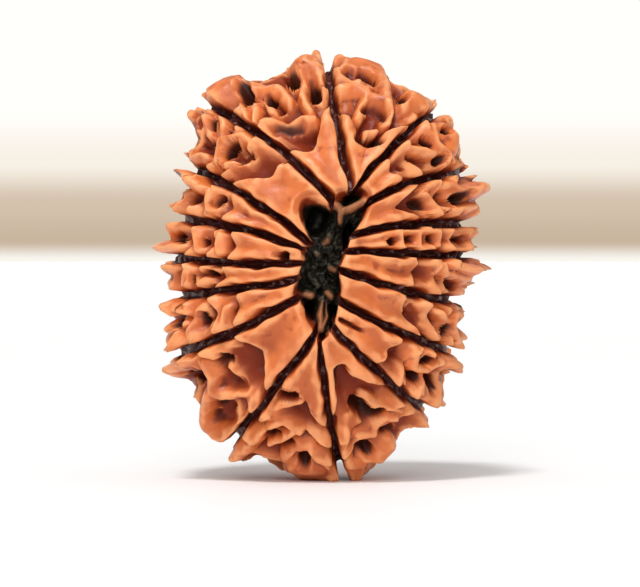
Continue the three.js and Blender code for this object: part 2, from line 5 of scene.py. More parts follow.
import bpy
import numpy as np
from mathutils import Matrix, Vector


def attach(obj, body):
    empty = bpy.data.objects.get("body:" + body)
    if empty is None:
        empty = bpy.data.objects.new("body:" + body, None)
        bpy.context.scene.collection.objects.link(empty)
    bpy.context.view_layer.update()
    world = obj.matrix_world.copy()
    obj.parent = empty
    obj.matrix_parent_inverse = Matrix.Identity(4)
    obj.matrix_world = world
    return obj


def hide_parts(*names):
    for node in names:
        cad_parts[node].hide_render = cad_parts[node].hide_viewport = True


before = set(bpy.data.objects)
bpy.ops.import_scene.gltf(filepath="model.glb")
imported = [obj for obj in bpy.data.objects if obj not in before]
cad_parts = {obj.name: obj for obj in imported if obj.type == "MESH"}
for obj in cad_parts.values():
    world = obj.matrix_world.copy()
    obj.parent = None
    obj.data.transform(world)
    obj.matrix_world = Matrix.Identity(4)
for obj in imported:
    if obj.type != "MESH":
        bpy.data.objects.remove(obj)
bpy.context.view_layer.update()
MM = 0.001

# Driving dimensions as in the solid, in millimetres or as shares
REST_HEIGHT = 15.9
SHIFT_X = -0.05
SHIFT_Y = -0.22
FRONT_DEPTH = 9.7
BACK_DEPTH = 9.3
BODY_HALF = np.array([11.0, 9.6, 14.6])
BACK_RING = np.array([1.5, 2.3])
GROOVE_HALF_WIDTH = (0.33, 0.4)
GROOVE_DEPTH = (1.4, 0.6)
SECTION_FULLNESS = 0.9
EQUATOR_WAVES = ((3, 0.7, 1.0), (5, 0.4, 2.0))
STEP_FALL = 0.018
STEP_GAP = 0.07
LAST_PLACE = 0.97
MERIDIAN = 14.0
LIP_INSIDE = 0.1
FIRST_FOOT = 0.6
SLOT_LIPS = 0.3
LIP_CREST = 0.35
LIP_SPREAD = 0.75
LIP_EDGE = 0.75
LIP_BLEND = 0.7
FULL_WIDTH = 2
HOLLOW_END = 0.35
FIRST_RISE = 0.6
SERRATION = 0.3
SQUEEZE = 0.1
EQUATOR_LIPS = 0.8
EQUATOR_HOLLOW = -0.1
LEAN = 0.8
WOBBLE = 0.16

# A slow and a quick wave in a groove's width: how much, then the turn along the groove, from one
# groove to the next, and from one side of it to the other
GROOVE_WAVES = ((0.16, 23, 2.4, 1.3), (0.1, 51, 4.1, -2.2))
WAVES_FULL_AT = 0.15
# Its least half width, its most and its floor's most as shares of half the segment, and its wall,
# from a share of its half width to just past it
GROOVE_LEAST = 0.1
GROOVE_MOST = 0.4
FLOOR_MOST = 1.3
GROOVE_WALL = (0.6, 0.06)

# Steps are deeper and their edges more pointed than in the solid
LIP_FOOT = -0.1
HOLLOW_FOOT = -0.8
FIRST_HOLLOW = 0.38
LIP_RISE = 2.2
HOLLOW_RISE = 1.8
NOTCH_POWER = 1.5

# How ridges fall away, how pits widen up to their rim, how far round a mark points are moved, and
# the squares of the lengths over which marks blend into the relief
RIDGE_SLOPE = 1.2
PIT_RIM = 0.9
PIT_REACH = 1.05
PIT_WALL = (0.3, 1.1)
PIT_UNDER_FLOOR = 0.5
MARK_REACH = 2.5
FAR_BELOW = -9.0
RIDGE_BLEND = 0.02
PIT_BLEND = 0.01
MARKS_FADE_FROM = 0.8

# Lumps on the groove floors, and lumps and pits near the equator, which the solid lacks
FLOOR_LUMPS = 0.35
FLOOR_LUMP_SIZE = 0.5
FLOOR_LUMP_SEED = 3
FLOOR_LUMPS_FULL_AT = 0.4
RIM_LUMPS = 0.3
RIM_LUMP_SIZE = 1.3
RIM_LUMP_SEED = 8
RIM_PITS = 0.9
RIM_PIT_SIZE = 1.1
RIM_PIT_SEED = 9
RIM_PIT_CUT = (0.2, 0.5)
RIM_BAND = (0.74, 0.95)

# Each groove's points at the slot, half way and on the rim: x, z, x, z, x, z
GROOVES = np.array([
    [2.1, 5.7, 1.1, 10.2, 0.4, 14.9], [2.6, 6.0, 5.7, 9.4, 8.5, 11.5],
    [3.4, 4.6, 6.8, 6.3, 10.7, 6.9], [2.2, 2.4, 6.2, 3.1, 10.8, 3.2],
    [1.8, 1.3, 6.1, 1.0, 10.9, 0.7], [1.3, -0.1, 5.4, -1.6, 9.9, -2.6],
    [1.3, -2.4, 5.3, -4.6, 9.8, -6.4], [0.9, -4.3, 4.2, -7.8, 7.9, -10.8],
    [-0.1, -5.6, 0.4, -10.3, 1.4, -15.0], [-0.5, -4.8, -3.4, -8.7, -6.7, -13.1],
    [-1.9, -2.3, -6.1, -4.5, -11.0, -6.8], [-1.9, -0.8, -6.1, -1.6, -10.9, -2.2],
    [-1.6, 0.2, -6.3, 0.4, -11.3, 0.6], [-1.4, 1.4, -5.9, 2.8, -10.6, 3.5],
    [-1.0, 1.9, -5.2, 5.1, -9.6, 7.2], [0.7, 4.8, -3.6, 9.0, -8.6, 12.0],
])
COUNT = len(GROOVES)
RIM = GROOVES[:, 4:6]

# The four steps of each segment on the slot side: the horn on the near lip as x, z and height
# over the body, the horn on the far lip, and how far the step's edge draws back between them
STEPS = [
    [[2.0, 12.1, 0.9, 6.1, 11.1, 0.9, 2.6], [1.4, 13.5, 0.8, 6.8, 11.6, 0.8, 0.4],
     [1.3, 14.9, 1.1, 7.7, 12.0, 1.0, 0.5], [1.6, 15.9, 0.9, 8.6, 12.3, 0.9, 0.8]],
    [[5.0, 7.9, 0.9, 5.9, 6.5, 0.9, 0.4], [6.4, 9.3, 0.9, 7.6, 7.2, 0.8, 0.6],
     [7.9, 10.6, 1.0, 9.5, 7.5, 1.0, 0.8], [9.3, 11.0, 0.5, 10.6, 7.4, 0.9, 0.3]],
    [[7.7, 5.9, 0.9, 8.3, 3.9, 0.9, 2.8], [8.9, 6.2, 0.9, 9.2, 3.8, 0.8, 0.8],
     [10.4, 5.9, 1.1, 10.4, 3.7, 1.0, 0.8], [12.1, 6.1, 1.2, 11.7, 3.1, 1.2, 0.8]],
    [[5.9, 2.6, 0.6, 6.0, 1.4, 0.6, 0.1], [8.2, 2.6, 0.7, 8.4, 1.4, 0.7, 0.2],
     [10.1, 2.6, 0.9, 10.0, 1.5, 0.8, 0.2], [11.2, 2.6, 0.7, 11.1, 1.4, 0.7, 0.3]],
    [[7.1, 0.5, 0.8, 7.0, -1.4, 0.8, 0.15], [8.8, 0.3, 0.9, 8.9, -2.0, 0.9, 0.35],
     [10.4, 0.2, 1.2, 9.6, -2.2, 0.9, 0.5], [12.9, -0.2, 1.2, 10.2, -2.4, 0.5, 0.8]],
    [[6.1, -2.3, 0.8, 7.6, -5.0, 0.9, 0.7], [8.0, -3.0, 0.9, 8.9, -5.5, 1.0, 0.5],
     [9.5, -3.3, 1.0, 9.9, -5.9, 1.1, 0.5], [10.5, -3.6, 0.9, 10.8, -6.0, 1.2, 0.4]],
    [[6.1, -5.8, 0.9, 4.2, -7.2, 0.9, 0.5], [7.6, -6.5, 0.9, 5.8, -8.8, 0.9, 0.8],
     [8.7, -6.9, 1.1, 7.2, -9.7, 1.0, 0.8], [10.4, -7.4, 1.4, 9.0, -10.3, 1.1, 0.8]],
    [[4.5, -9.6, 0.9, 1.4, -11.5, 0.8, 3.0], [5.9, -10.7, 0.9, 1.6, -13.0, 0.9, 0.9],
     [6.8, -11.2, 1.0, 1.8, -14.2, 1.0, 0.9], [8.3, -11.8, 1.2, 2.0, -16.4, 1.6, 1.0]],
    [[-0.3, -12.3, 0.9, -2.6, -8.9, 0.8, 0.8], [-0.1, -13.4, 0.9, -4.6, -11.6, 0.8, 1.2],
     [0.4, -14.9, 1.5, -5.6, -13.1, 1.0, 0.8], [0.6, -16.6, 2.0, -7.0, -14.3, 1.7, 0.6]],
    [[-4.4, -9.2, 0.9, -6.3, -5.9, 0.8, 1.2], [-5.3, -10.6, 0.9, -9.1, -6.8, 1.0, 1.0],
     [-6.0, -11.9, 1.0, -10.3, -7.0, 1.1, 0.8], [-7.4, -13.1, 0.8, -12.1, -7.5, 1.8, 0.8]],
    [[-6.5, -4.1, 0.9, -6.2, -2.4, 0.8, 0.1], [-8.2, -4.9, 1.0, -8.6, -2.5, 0.9, 0.7],
     [-9.9, -5.2, 1.2, -10.6, -2.6, 1.2, 0.6], [-11.9, -5.4, 1.8, -12.2, -2.9, 2.0, 0.8]],
    [[-8.4, -1.3, 0.8, -7.2, -0.1, 0.7, 0.7], [-9.3, -1.4, 0.8, -9.3, 0.0, 0.8, 0.3],
     [-10.3, -1.5, 1.0, -10.4, 0.0, 1.0, 0.3], [-11.4, -1.7, 0.9, -12.1, 0.1, 1.3, 0.5]],
    [[-7.1, 0.9, 0.8, -6.5, 2.2, 0.8, 0.3], [-8.6, 1.2, 0.9, -8.3, 2.6, 0.8, 0.5],
     [-10.4, 1.2, 1.1, -9.8, 2.7, 0.9, 0.4], [-12.6, 1.3, 1.5, -11.3, 3.1, 1.0, 0.5]],
    [[-7.6, 3.9, 0.8, -6.9, 5.4, 0.8, 0.4], [-8.9, 4.1, 0.9, -8.4, 5.9, 0.8, 0.5],
     [-10.0, 4.4, 1.1, -9.7, 6.4, 1.1, 0.4], [-11.3, 4.7, 1.5, -11.2, 7.1, 2.1, 0.8]],
    [[-6.7, 7.1, 0.9, -3.0, 7.5, 1.0, 1.0], [-7.6, 7.6, 0.9, -4.8, 9.7, 0.9, 0.7],
     [-8.7, 7.9, 1.0, -6.3, 10.8, 0.9, 0.5], [-9.9, 8.2, 0.7, -8.4, 12.0, 0.5, 0.4]],
    [[-2.4, 9.1, 0.9, 0.2, 12.2, 0.9, 1.8], [-4.4, 10.9, 0.9, 0.0, 13.2, 0.9, 0.3],
     [-6.1, 12.2, 1.1, 0.0, 14.6, 1.1, 0.5], [-8.8, 13.3, 1.3, -0.3, 16.1, 1.3, 0.9]],
]

# Ridges on the slot side: radius, then points as x, z and height, one after the other
RIDGES = [
    [0.35, -4.1, 10.8, 0.9, -2.8, 10.6, 0.9, -1.6, 10.9, 0.9, -0.6, 11.0, 0.8],
    [0.3, -6.0, 12.0, 0.9, -5.7, 11.1, 0.8], [0.3, -4.9, 11.8, 0.9, -5.0, 10.8, 0.8],
    [0.22, -4.2, 12.6, 1.0, -3.9, 11.6, 0.9],
    [0.6, -8.4, 13.2, 1.5, -7.2, 13.8, 1.6, -6.1, 14.0, 1.6, -5.3, 13.6, 1.3],
    [0.5, -5.3, 13.6, 1.3, -4.2, 13.2, 1.1, -3.3, 13.2, 1.2, -2.6, 12.5, 1.0],
    [0.8, -2.3, 14.9, 1.7, -1.3, 15.5, 2.1, -0.5, 15.3, 1.8],
    [0.32, -2.4, 14.5, 1.2, -1.5, 14.2, 1.3, -0.1, 14.6, 1.3, -0.1, 13.3, 1.1],
    [0.35, -1.3, 13.9, 1.1, -1.5, 12.6, 1.0, -1.0, 11.6, 0.9],
    [0.3, -7.1, 7.6, 0.9, -5.9, 8.0, 0.7, -5.1, 9.1, 0.9],
    [0.4, -7.9, 8.0, 1.0, -7.7, 9.4, 0.9, -6.0, 9.7, 0.9, -5.3, 9.3, 0.9],
    [0.3, -7.4, 9.6, 0.9, -7.5, 11.0, 1.0], [0.3, -8.5, 9.6, 1.1, -8.7, 11.0, 1.2],
    [0.3, 1.3, 13.4, 1.0, 2.5, 13.5, 1.0, 3.3, 13.2, 0.9],
    [0.6, 1.8, 15.4, 1.0, 3.0, 15.3, 1.0, 4.3, 14.7, 1.0, 4.8, 13.4, 1.2, 5.0, 12.3, 1.0],
    [0.4, 3.4, 9.9, 0.5, 4.0, 9.9, 0.6], [0.4, 2.6, 11.2, 0.6, 3.3, 12.8, 0.8, 4.6, 12.3, 0.9],
    [0.3, 5.0, 12.0, 1.0, 5.0, 10.8, 0.8], [0.8, 6.6, 12.6, 1.4, 7.8, 12.3, 1.2],
    [0.35, -11.2, 1.5, 1.2, -12.0, 1.4, 1.4, -12.6, 1.3, 1.3],
    [0.4, -9.7, 6.2, 1.2, -10.5, 6.6, 1.8, -11.3, 7.0, 2.5], [0.4, -10.6, -4.3, 1.0, -11.4, -4.6, 1.4],
    [0.4, 10.3, 5.6, 1.0, 11.2, 5.6, 1.6, 12.0, 5.8, 2.1],
    [0.4, 10.6, -0.1, 1.1, 11.8, -0.4, 1.8, 12.7, -0.6, 2.1], [0.3, -8.9, 8.2, 0.9, -9.7, 8.1, 0.9],
    [0.35, 6.1, 8.9, 0.8, 7.2, 8.6, 0.8, 8.2, 8.5, 0.9],
    [0.35, 8.3, 10.5, 1.0, 8.6, 9.2, 1.0, 9.2, 8.4, 1.1, 9.7, 7.7, 1.1],
    [0.6, 9.2, 10.5, 1.2, 9.9, 9.6, 1.3, 9.9, 8.7, 1.2],
    [0.3, 8.0, 6.0, 0.9, 8.6, 6.3, 1.0, 9.8, 6.0, 1.0, 10.5, 5.6, 1.1],
    [0.28, 7.8, 5.4, 0.8, 8.7, 4.4, 0.8], [0.3, 5.6, 2.6, 0.6, 7.2, 2.7, 0.7, 8.6, 2.6, 0.75],
    [0.3, 5.6, 1.4, 0.6, 7.2, 1.35, 0.7, 8.6, 1.3, 0.75], [0.22, 5.85, 2.5, 0.6, 5.85, 1.5, 0.6],
    [0.3, 7.2, 2.6, 0.65, 7.2, 1.4, 0.65], [0.25, 8.8, 2.5, 0.7, 8.8, 1.4, 0.7],
    [0.3, 9.1, 4.4, 0.8, 10.2, 4.1, 1.0, 11.2, 4.4, 1.3],
    [0.3, 9.1, 0.3, 0.9, 9.3, -0.6, 0.9, 10.2, -0.9, 1.0, 11.8, -1.1, 1.4],
    [0.3, 8.9, -3.4, 1.0, 9.4, -4.2, 1.0, 9.0, -5.3, 1.0],
    [0.3, 10.1, -3.5, 1.2, 9.8, -4.5, 1.1, 10.2, -5.6, 1.2],
    [0.35, 7.2, -6.2, 1.0, 7.0, -7.4, 0.9, 8.0, -7.6, 0.9, 8.9, -7.1, 1.1],
    [0.3, 6.0, -7.4, 0.7, 6.0, -8.6, 0.8], [0.35, 7.5, -8.3, 0.9, 7.4, -9.3, 1.0],
    [0.35, 3.6, -10.1, 0.9, 4.7, -10.4, 0.9, 5.9, -10.7, 0.9],
    [0.4, 2.6, -12.7, 0.8, 3.8, -12.4, 1.0, 4.7, -11.4, 0.9, 5.6, -11.3, 0.9],
    [0.5, 3.3, -14.6, 1.1, 4.3, -14.3, 1.5, 5.2, -13.5, 1.4],
    [0.4, 1.8, -12.5, 0.9, 1.5, -13.5, 0.9, 2.2, -14.8, 1.1, 3.1, -14.8, 1.1],
    [0.35, -3.9, -10.8, 0.5, -3.0, -10.2, 0.6, -1.7, -10.0, 0.6],
    [0.35, -5.6, -13.2, 1.1, -4.1, -12.0, 0.9, -2.9, -11.7, 0.7, -1.6, -12.4, 0.7],
    [0.35, -3.9, -13.2, 0.8, -3.1, -12.9, 0.8, -2.1, -12.3, 0.8],
    [0.7, -6.0, -14.0, 1.3, -6.4, -14.2, 1.6],
    [0.5, -2.9, -14.4, 0.9, -1.9, -13.4, 0.8, -0.8, -13.5, 0.9],
    [0.4, -0.8, -14.1, 1.2, 0.5, -14.8, 1.4], [1.1, -2.4, -15.3, 1.1, 0.0, -15.9, 1.3],
    [1.1, 2.4, -15.9, 1.3, 3.2, -15.6, 1.1],
    [0.4, -9.0, -7.0, 1.0, -8.3, -8.2, 1.0, -8.3, -9.2, 1.0, -7.2, -9.8, 0.9, -5.7, -9.5, 0.8],
    [0.35, -5.3, -9.8, 0.9, -5.5, -11.2, 1.0, -6.6, -12.6, 1.1],
    [0.4, -6.6, -12.6, 1.1, -7.6, -12.9, 1.2, -8.8, -12.2, 1.2, -8.9, -10.8, 1.2, -8.7, -9.6, 1.1],
    [0.8, -10.3, -6.9, 1.3, -11.3, -7.3, 1.8], [0.3, -7.2, -3.0, 0.7, -7.6, -4.4, 0.8],
    [0.3, -9.2, -3.1, 0.9, -9.7, -4.7, 0.9], [0.4, -10.3, -3.3, 1.1, -11.8, -3.0, 1.7],
    [0.3, -10.2, -0.1, 0.9, -10.3, -1.4, 0.9], [0.3, -7.7, 1.2, 0.8, -7.7, 2.5, 0.8],
    [0.3, -9.4, 1.4, 0.8, -9.5, 2.5, 0.8], [0.3, -8.4, 4.2, 0.9, -8.5, 5.8, 0.9],
]

# Pits on the slot side: radius, depth, then the ends of its middle line as x, z, x, z
PITS = [
    [0.6, 1.3, -5.7, 12.9, -5.5, 12.4], [0.35, 1.2, -4.0, 12.4, -3.5, 12.0],
    [0.3, 0.6, -1.4, 15.1, -1.1, 15.0], [0.42, 1.2, -2.5, 14.0, -2.1, 13.5],
    [0.45, 1.2, -0.6, 13.2, -0.5, 12.3], [0.9, 0.1, -3.2, 10.0, -1.8, 10.1],
    [0.6, 1.4, -6.9, 8.5, -6.6, 8.9], [0.4, 0.7, -6.0, 8.0, -5.3, 8.3],
    [0.3, 0.9, -6.9, 10.0, -6.7, 10.1], [0.28, 0.8, -8.1, 10.3, -8.1, 10.8],
    [0.35, 0.5, -9.1, 10.5, -9.1, 10.9], [0.35, 0.7, -8.7, 9.0, -8.3, 9.1],
    [0.4, 1.2, 2.7, 9.6, 3.4, 9.1], [0.4, 1.2, 3.4, 9.1, 4.3, 9.4],
    [0.7, 0.3, 3.4, 11.6, 4.3, 11.2], [0.4, 1.2, 3.0, 14.1, 3.8, 13.6],
    [0.45, 0.1, 2.0, 14.4, 2.3, 14.1], [0.35, 0.7, 5.6, 12.7, 5.9, 12.3],
    [0.32, 0.8, 6.4, 8.0, 6.5, 7.9], [0.3, 0.5, 5.8, 7.4, 5.9, 7.2],
    [0.38, 1.2, 7.4, 9.2, 8.0, 9.0], [0.38, 1.0, 8.3, 7.7, 8.8, 8.0],
    [0.28, 0.6, 9.0, 10.0, 9.2, 10.0], [0.6, 0.8, 6.9, 4.7, 7.4, 4.7],
    [0.45, 1.2, 9.7, 5.0, 10.3, 5.1], [0.36, 1.4, 5.2, 1.9, 5.3, 1.9],
    [0.3, 1.2, 6.4, 2.05, 6.5, 2.05], [0.36, 1.3, 8.0, 2.0, 8.1, 2.0],
    [0.3, 0.8, 10.1, 1.9, 10.4, 2.0], [0.3, 0.5, 11.2, -0.8, 11.6, -0.8],
    [0.4, 1.0, 9.3, -1.2, 9.6, -1.6], [0.6, 0.2, 6.5, -3.0, 6.7, -3.6],
    [0.38, 1.0, 9.2, -4.6, 9.1, -4.9], [0.2, 0.1, 1.5, -3.8, 2.9, -4.6],
    [0.35, 0.8, 7.6, -6.9, 8.1, -7.0], [0.45, 1.3, 6.5, -7.9, 7.1, -8.2],
    [0.45, 1.3, 8.1, -8.4, 8.3, -9.1], [0.6, 0.7, 1.4, -7.6, 1.6, -9.2],
    [0.65, 1.5, 2.6, -10.2, 3.2, -10.7], [0.5, 1.5, 3.2, -10.9, 4.4, -10.8],
    [0.55, 1.5, 2.9, -13.3, 3.3, -13.5], [0.45, 1.3, 4.6, -12.2, 5.0, -12.1],
    [0.5, 0.4, -3.9, -12.5, -3.4, -12.4], [0.35, 1.1, -2.6, -13.2, -2.2, -13.0],
    [0.5, 1.4, -1.3, -14.5, -1.2, -14.0], [0.45, 0.9, -2.9, -9.5, -2.2, -9.6],
    [0.5, 0.8, -7.5, -6.8, -6.9, -6.8], [0.9, 0.1, -7.0, -8.4, -6.0, -8.5],
    [0.45, 0.7, -7.8, -10.2, -6.6, -10.3], [0.8, 0.3, -7.6, -11.2, -6.9, -11.0],
    [0.6, 1.4, -9.8, -8.2, -9.2, -8.3], [0.45, 1.3, -8.8, -3.6, -8.4, -4.0],
    [0.35, 0.8, -10.5, -3.9, -10.6, -4.4], [0.35, 1.0, -8.5, -0.4, -7.9, -0.5],
    [0.3, 0.6, -9.6, -1.2, -9.6, -0.8], [0.5, 1.3, -3.0, 0.8, -2.9, 0.8],
    [0.35, 1.0, -8.7, 1.8, -8.5, 1.8], [0.42, 1.1, -10.7, 2.0, -10.4, 2.0],
    [0.45, 0.6, -7.8, 4.6, -7.4, 4.9], [0.45, 0.5, -9.4, 4.9, -9.1, 5.0],
    [1.2, 0.7, -4.9, 14.7, -3.7, 15.0], [0.8, 0.6, 5.7, 14.0, 5.9, 14.2],
    [0.9, 0.8, 6.3, -12.9, 6.9, -13.2], [0.7, 0.4, -10.5, 6.0, -10.9, 6.0],
    [0.5, 0.3, -4.6, -14.9, -4.2, -15.4], [0.8, 0.5, -10.2, 9.3, -9.7, 9.5],
    [0.5, 0.5, 10.9, -3.1, 11.2, -3.1], [0.5, 0.8, 9.2, -8.2, 9.7, -8.2],
    [0.5, 0.4, -11.0, 5.2, -10.7, 5.2], [0.6, 0.5, 10.6, 8.2, 10.8, 8.0],
    [0.7, 0.4, -9.9, -9.3, -9.7, -9.0],
]
# Segments whose first edge stands back from the slot, by this share of the half meridian
INSETS = {14: 0.09}
# Half of each segment's width on the rim
SPREAD = np.linalg.norm(RIM - np.roll(RIM, -1, axis=0), axis=1) / 2

# The far side follows a seeded rule: where a lip's horns end, as shares of the half meridian,
# their heights, how far both vary, and how far edges draw back, as shares of SPREAD
BACK_SEED = 7
BACK_PLACES = (0.22, 0.42, 0.6, 0.77, 0.92)
BACK_HEIGHTS = (0.7, 0.9, 1.1, 1.0, 0.7)
BACK_PLACE_SPREAD = 0.12
BACK_HEIGHT_SPREAD = 0.5
BACK_NOTCH = (0.15, 0.45)
# Its pits and knobs: their gap, how far across and past a step's edge they stand, the share that
# are pits, and the least and the range of each radius, depth and height
BACK_MARK_GAP = 1.1
BACK_ACROSS = 1.5
BACK_PAST = (0.02, 0.1)
BACK_RADIUS = (0.3, 0.35)
BACK_PIT_SHARE = 0.65
BACK_PIT = (0.5, 0.9)
BACK_KNOB = (0.4, 0.4)
# The same for those on the equator, where pits and knobs take turns
EQUATOR_SEED = 21
EQUATOR_MARK_GAP = 0.9
EQUATOR_ACROSS = 1.6
EQUATOR_PAST = 0.06
EQUATOR_RADIUS = (0.35, 0.4)
EQUATOR_PIT = (0.5, 0.6)
EQUATOR_KNOB = (0.3, 0.4)
# Knobs that the far side stands on, as segment, across, place, radius and height
BACK_FEET = ((8, -0.55, 0.84, 1.2, 1.0), (7, 0.5, 0.85, 1.2, 1.1), (8, 0.05, 0.88, 1.2, 1.3))


# Too little to show, so that nothing is divided by zero
TINY = 1e-12
TINY_SQUARE = 1e-9


def mix(a, b, t):
    return a + (b - a) * t


def ease(x, low, high):
    t = np.clip((x - low) / (high - low), 0, 1)
    return t * t * (3 - 2 * t)


# A maximum and a minimum whose corners are rounded: soft is the square of the rounding's length
def smooth_max(a, b, soft):
    return (a + b + np.sqrt((a - b) ** 2 + soft)) / 2


def smooth_min(a, b, soft):
    return -smooth_max(-a, -b, soft)


# How far flat points are from the line from a to b, and how far along it their nearest point is
def distance_to(at, a, b):
    along = b[:2] - a[:2]
    t = np.clip((at - a[:2]) @ along / max(along @ along, TINY_SQUARE), 0, 1)
    return np.linalg.norm(at - a[:2] - t[:, None] * along, axis=1), t


# Random numbers from 0 to 1, the same row for the same seed
def random_row(seed):
    state = seed
    while True:
        state = (state * 1664525 + 1013904223) % 2**32
        yield state / 2**32


def drawn(limits, draw):
    least, extent = limits
    return least + extent * next(draw)


# The far side's steps, as (place, height) on the near and far lips, how far each step's edge
# draws back, and its pits and knobs
def back_segments():
    draw = random_row(BACK_SEED)

    def lip():
        horns = []
        for i, place in enumerate(BACK_PLACES):
            if i < len(BACK_PLACES) - 1:
                place += BACK_PLACE_SPREAD * (next(draw) - 0.5)
            horns.append((place, BACK_HEIGHTS[i] * (1 + BACK_HEIGHT_SPREAD * (next(draw) - 0.5))))
        return horns

    def mark(place):
        across = BACK_ACROSS * (next(draw) - 0.5)
        place += drawn(BACK_PAST, draw)
        radius = drawn(BACK_RADIUS, draw)
        if next(draw) < BACK_PIT_SHARE:
            return across, place, radius, drawn(BACK_PIT, draw)
        return across, place, radius, -drawn(BACK_KNOB, draw)

    near, far, notch, pits = [], [], [], []
    for k in range(COUNT):
        near.append(lip())
        far.append(lip())
        notch.append([SPREAD[k] * mix(*BACK_NOTCH, next(draw)) for _ in BACK_PLACES])
        marks = max(1, round(SPREAD[k] / BACK_MARK_GAP))
        pits.append([mark(place) for place in BACK_PLACES for _ in range(marks)])
    for k, across, place, radius, height in BACK_FEET:
        pits[k].append((across, place, radius, -height))
    return np.array(near), np.array(far), np.array(notch), pits


# Pits and knobs on the equator, which both halves share: (across, past the equator, radius, depth)
def equator_marks():
    draw = random_row(EQUATOR_SEED)
    marks = []
    for k in range(COUNT):
        marks.append([])
        for i in range(max(1, round(SPREAD[k] / EQUATOR_MARK_GAP))):
            across = EQUATOR_ACROSS * (next(draw) - 0.5)
            past = EQUATOR_PAST * (next(draw) - 0.5)
            radius = drawn(EQUATOR_RADIUS, draw)
            depth = drawn(EQUATOR_PIT, draw) if i % 2 == 0 else -drawn(EQUATOR_KNOB, draw)
            marks[k].append((across, past, radius, depth))
    return marks


# Smooth noise from -1 to 1 at points in millimetres: the large numbers scatter the cells' heights
def noise(points, scale, seed):
    p = points / scale
    cell = np.floor(p).astype(np.int64)
    f = p - cell
    f = f * f * (3 - 2 * f)
    total = np.zeros(len(points))
    for corner in range(8):
        step = np.array([corner & 1, corner >> 1 & 1, corner >> 2 & 1])
        c = cell + step
        h = c[:, 0] * 73856093 + c[:, 1] * 19349663 + c[:, 2] * 83492791 + seed * 2654435
        h = (h ^ (h >> 13)) * 1274126177
        h = (h ^ (h >> 16)) & 0xFFFFF
        weight = np.prod(np.where(step, f, 1 - f), axis=1)
        total += weight * (h / 0x80000 - 1)
    return total


# A smooth closed curve through one point for each groove
def on_ring(points, place):
    i = np.floor(place).astype(int)
    f = (place - i)[:, None]
    a, b, d, e = (points[(i + n) % COUNT] for n in (-1, 0, 1, 2))
    square = 2 * a - 5 * b + 4 * d - e
    cube = 3 * b - a - 3 * d + e
    return 0.5 * (2 * b + (d - a) * f + square * f**2 + cube * f**3)


# Crossed waves of unequal lengths, which keep the relief from being even
def wobble_at(points):
    x, y, z = points.T
    return WOBBLE * (np.sin(1.3 * x + 0.7 * z + 0.4) * np.sin(1.1 * y - 0.9 * z)
                     + 0.6 * np.sin(2.3 * z + 1.7 * y + 1.1) * np.sin(2.1 * x - 1.2 * y))


SHARES_TRIED = np.linspace(0.05, 1, 400)
START_MOST = 0.6
LEAN_FULL_AT = 0.2
FIRST_HORN_BLEND = 0.02
ARC_RADIUS = 10


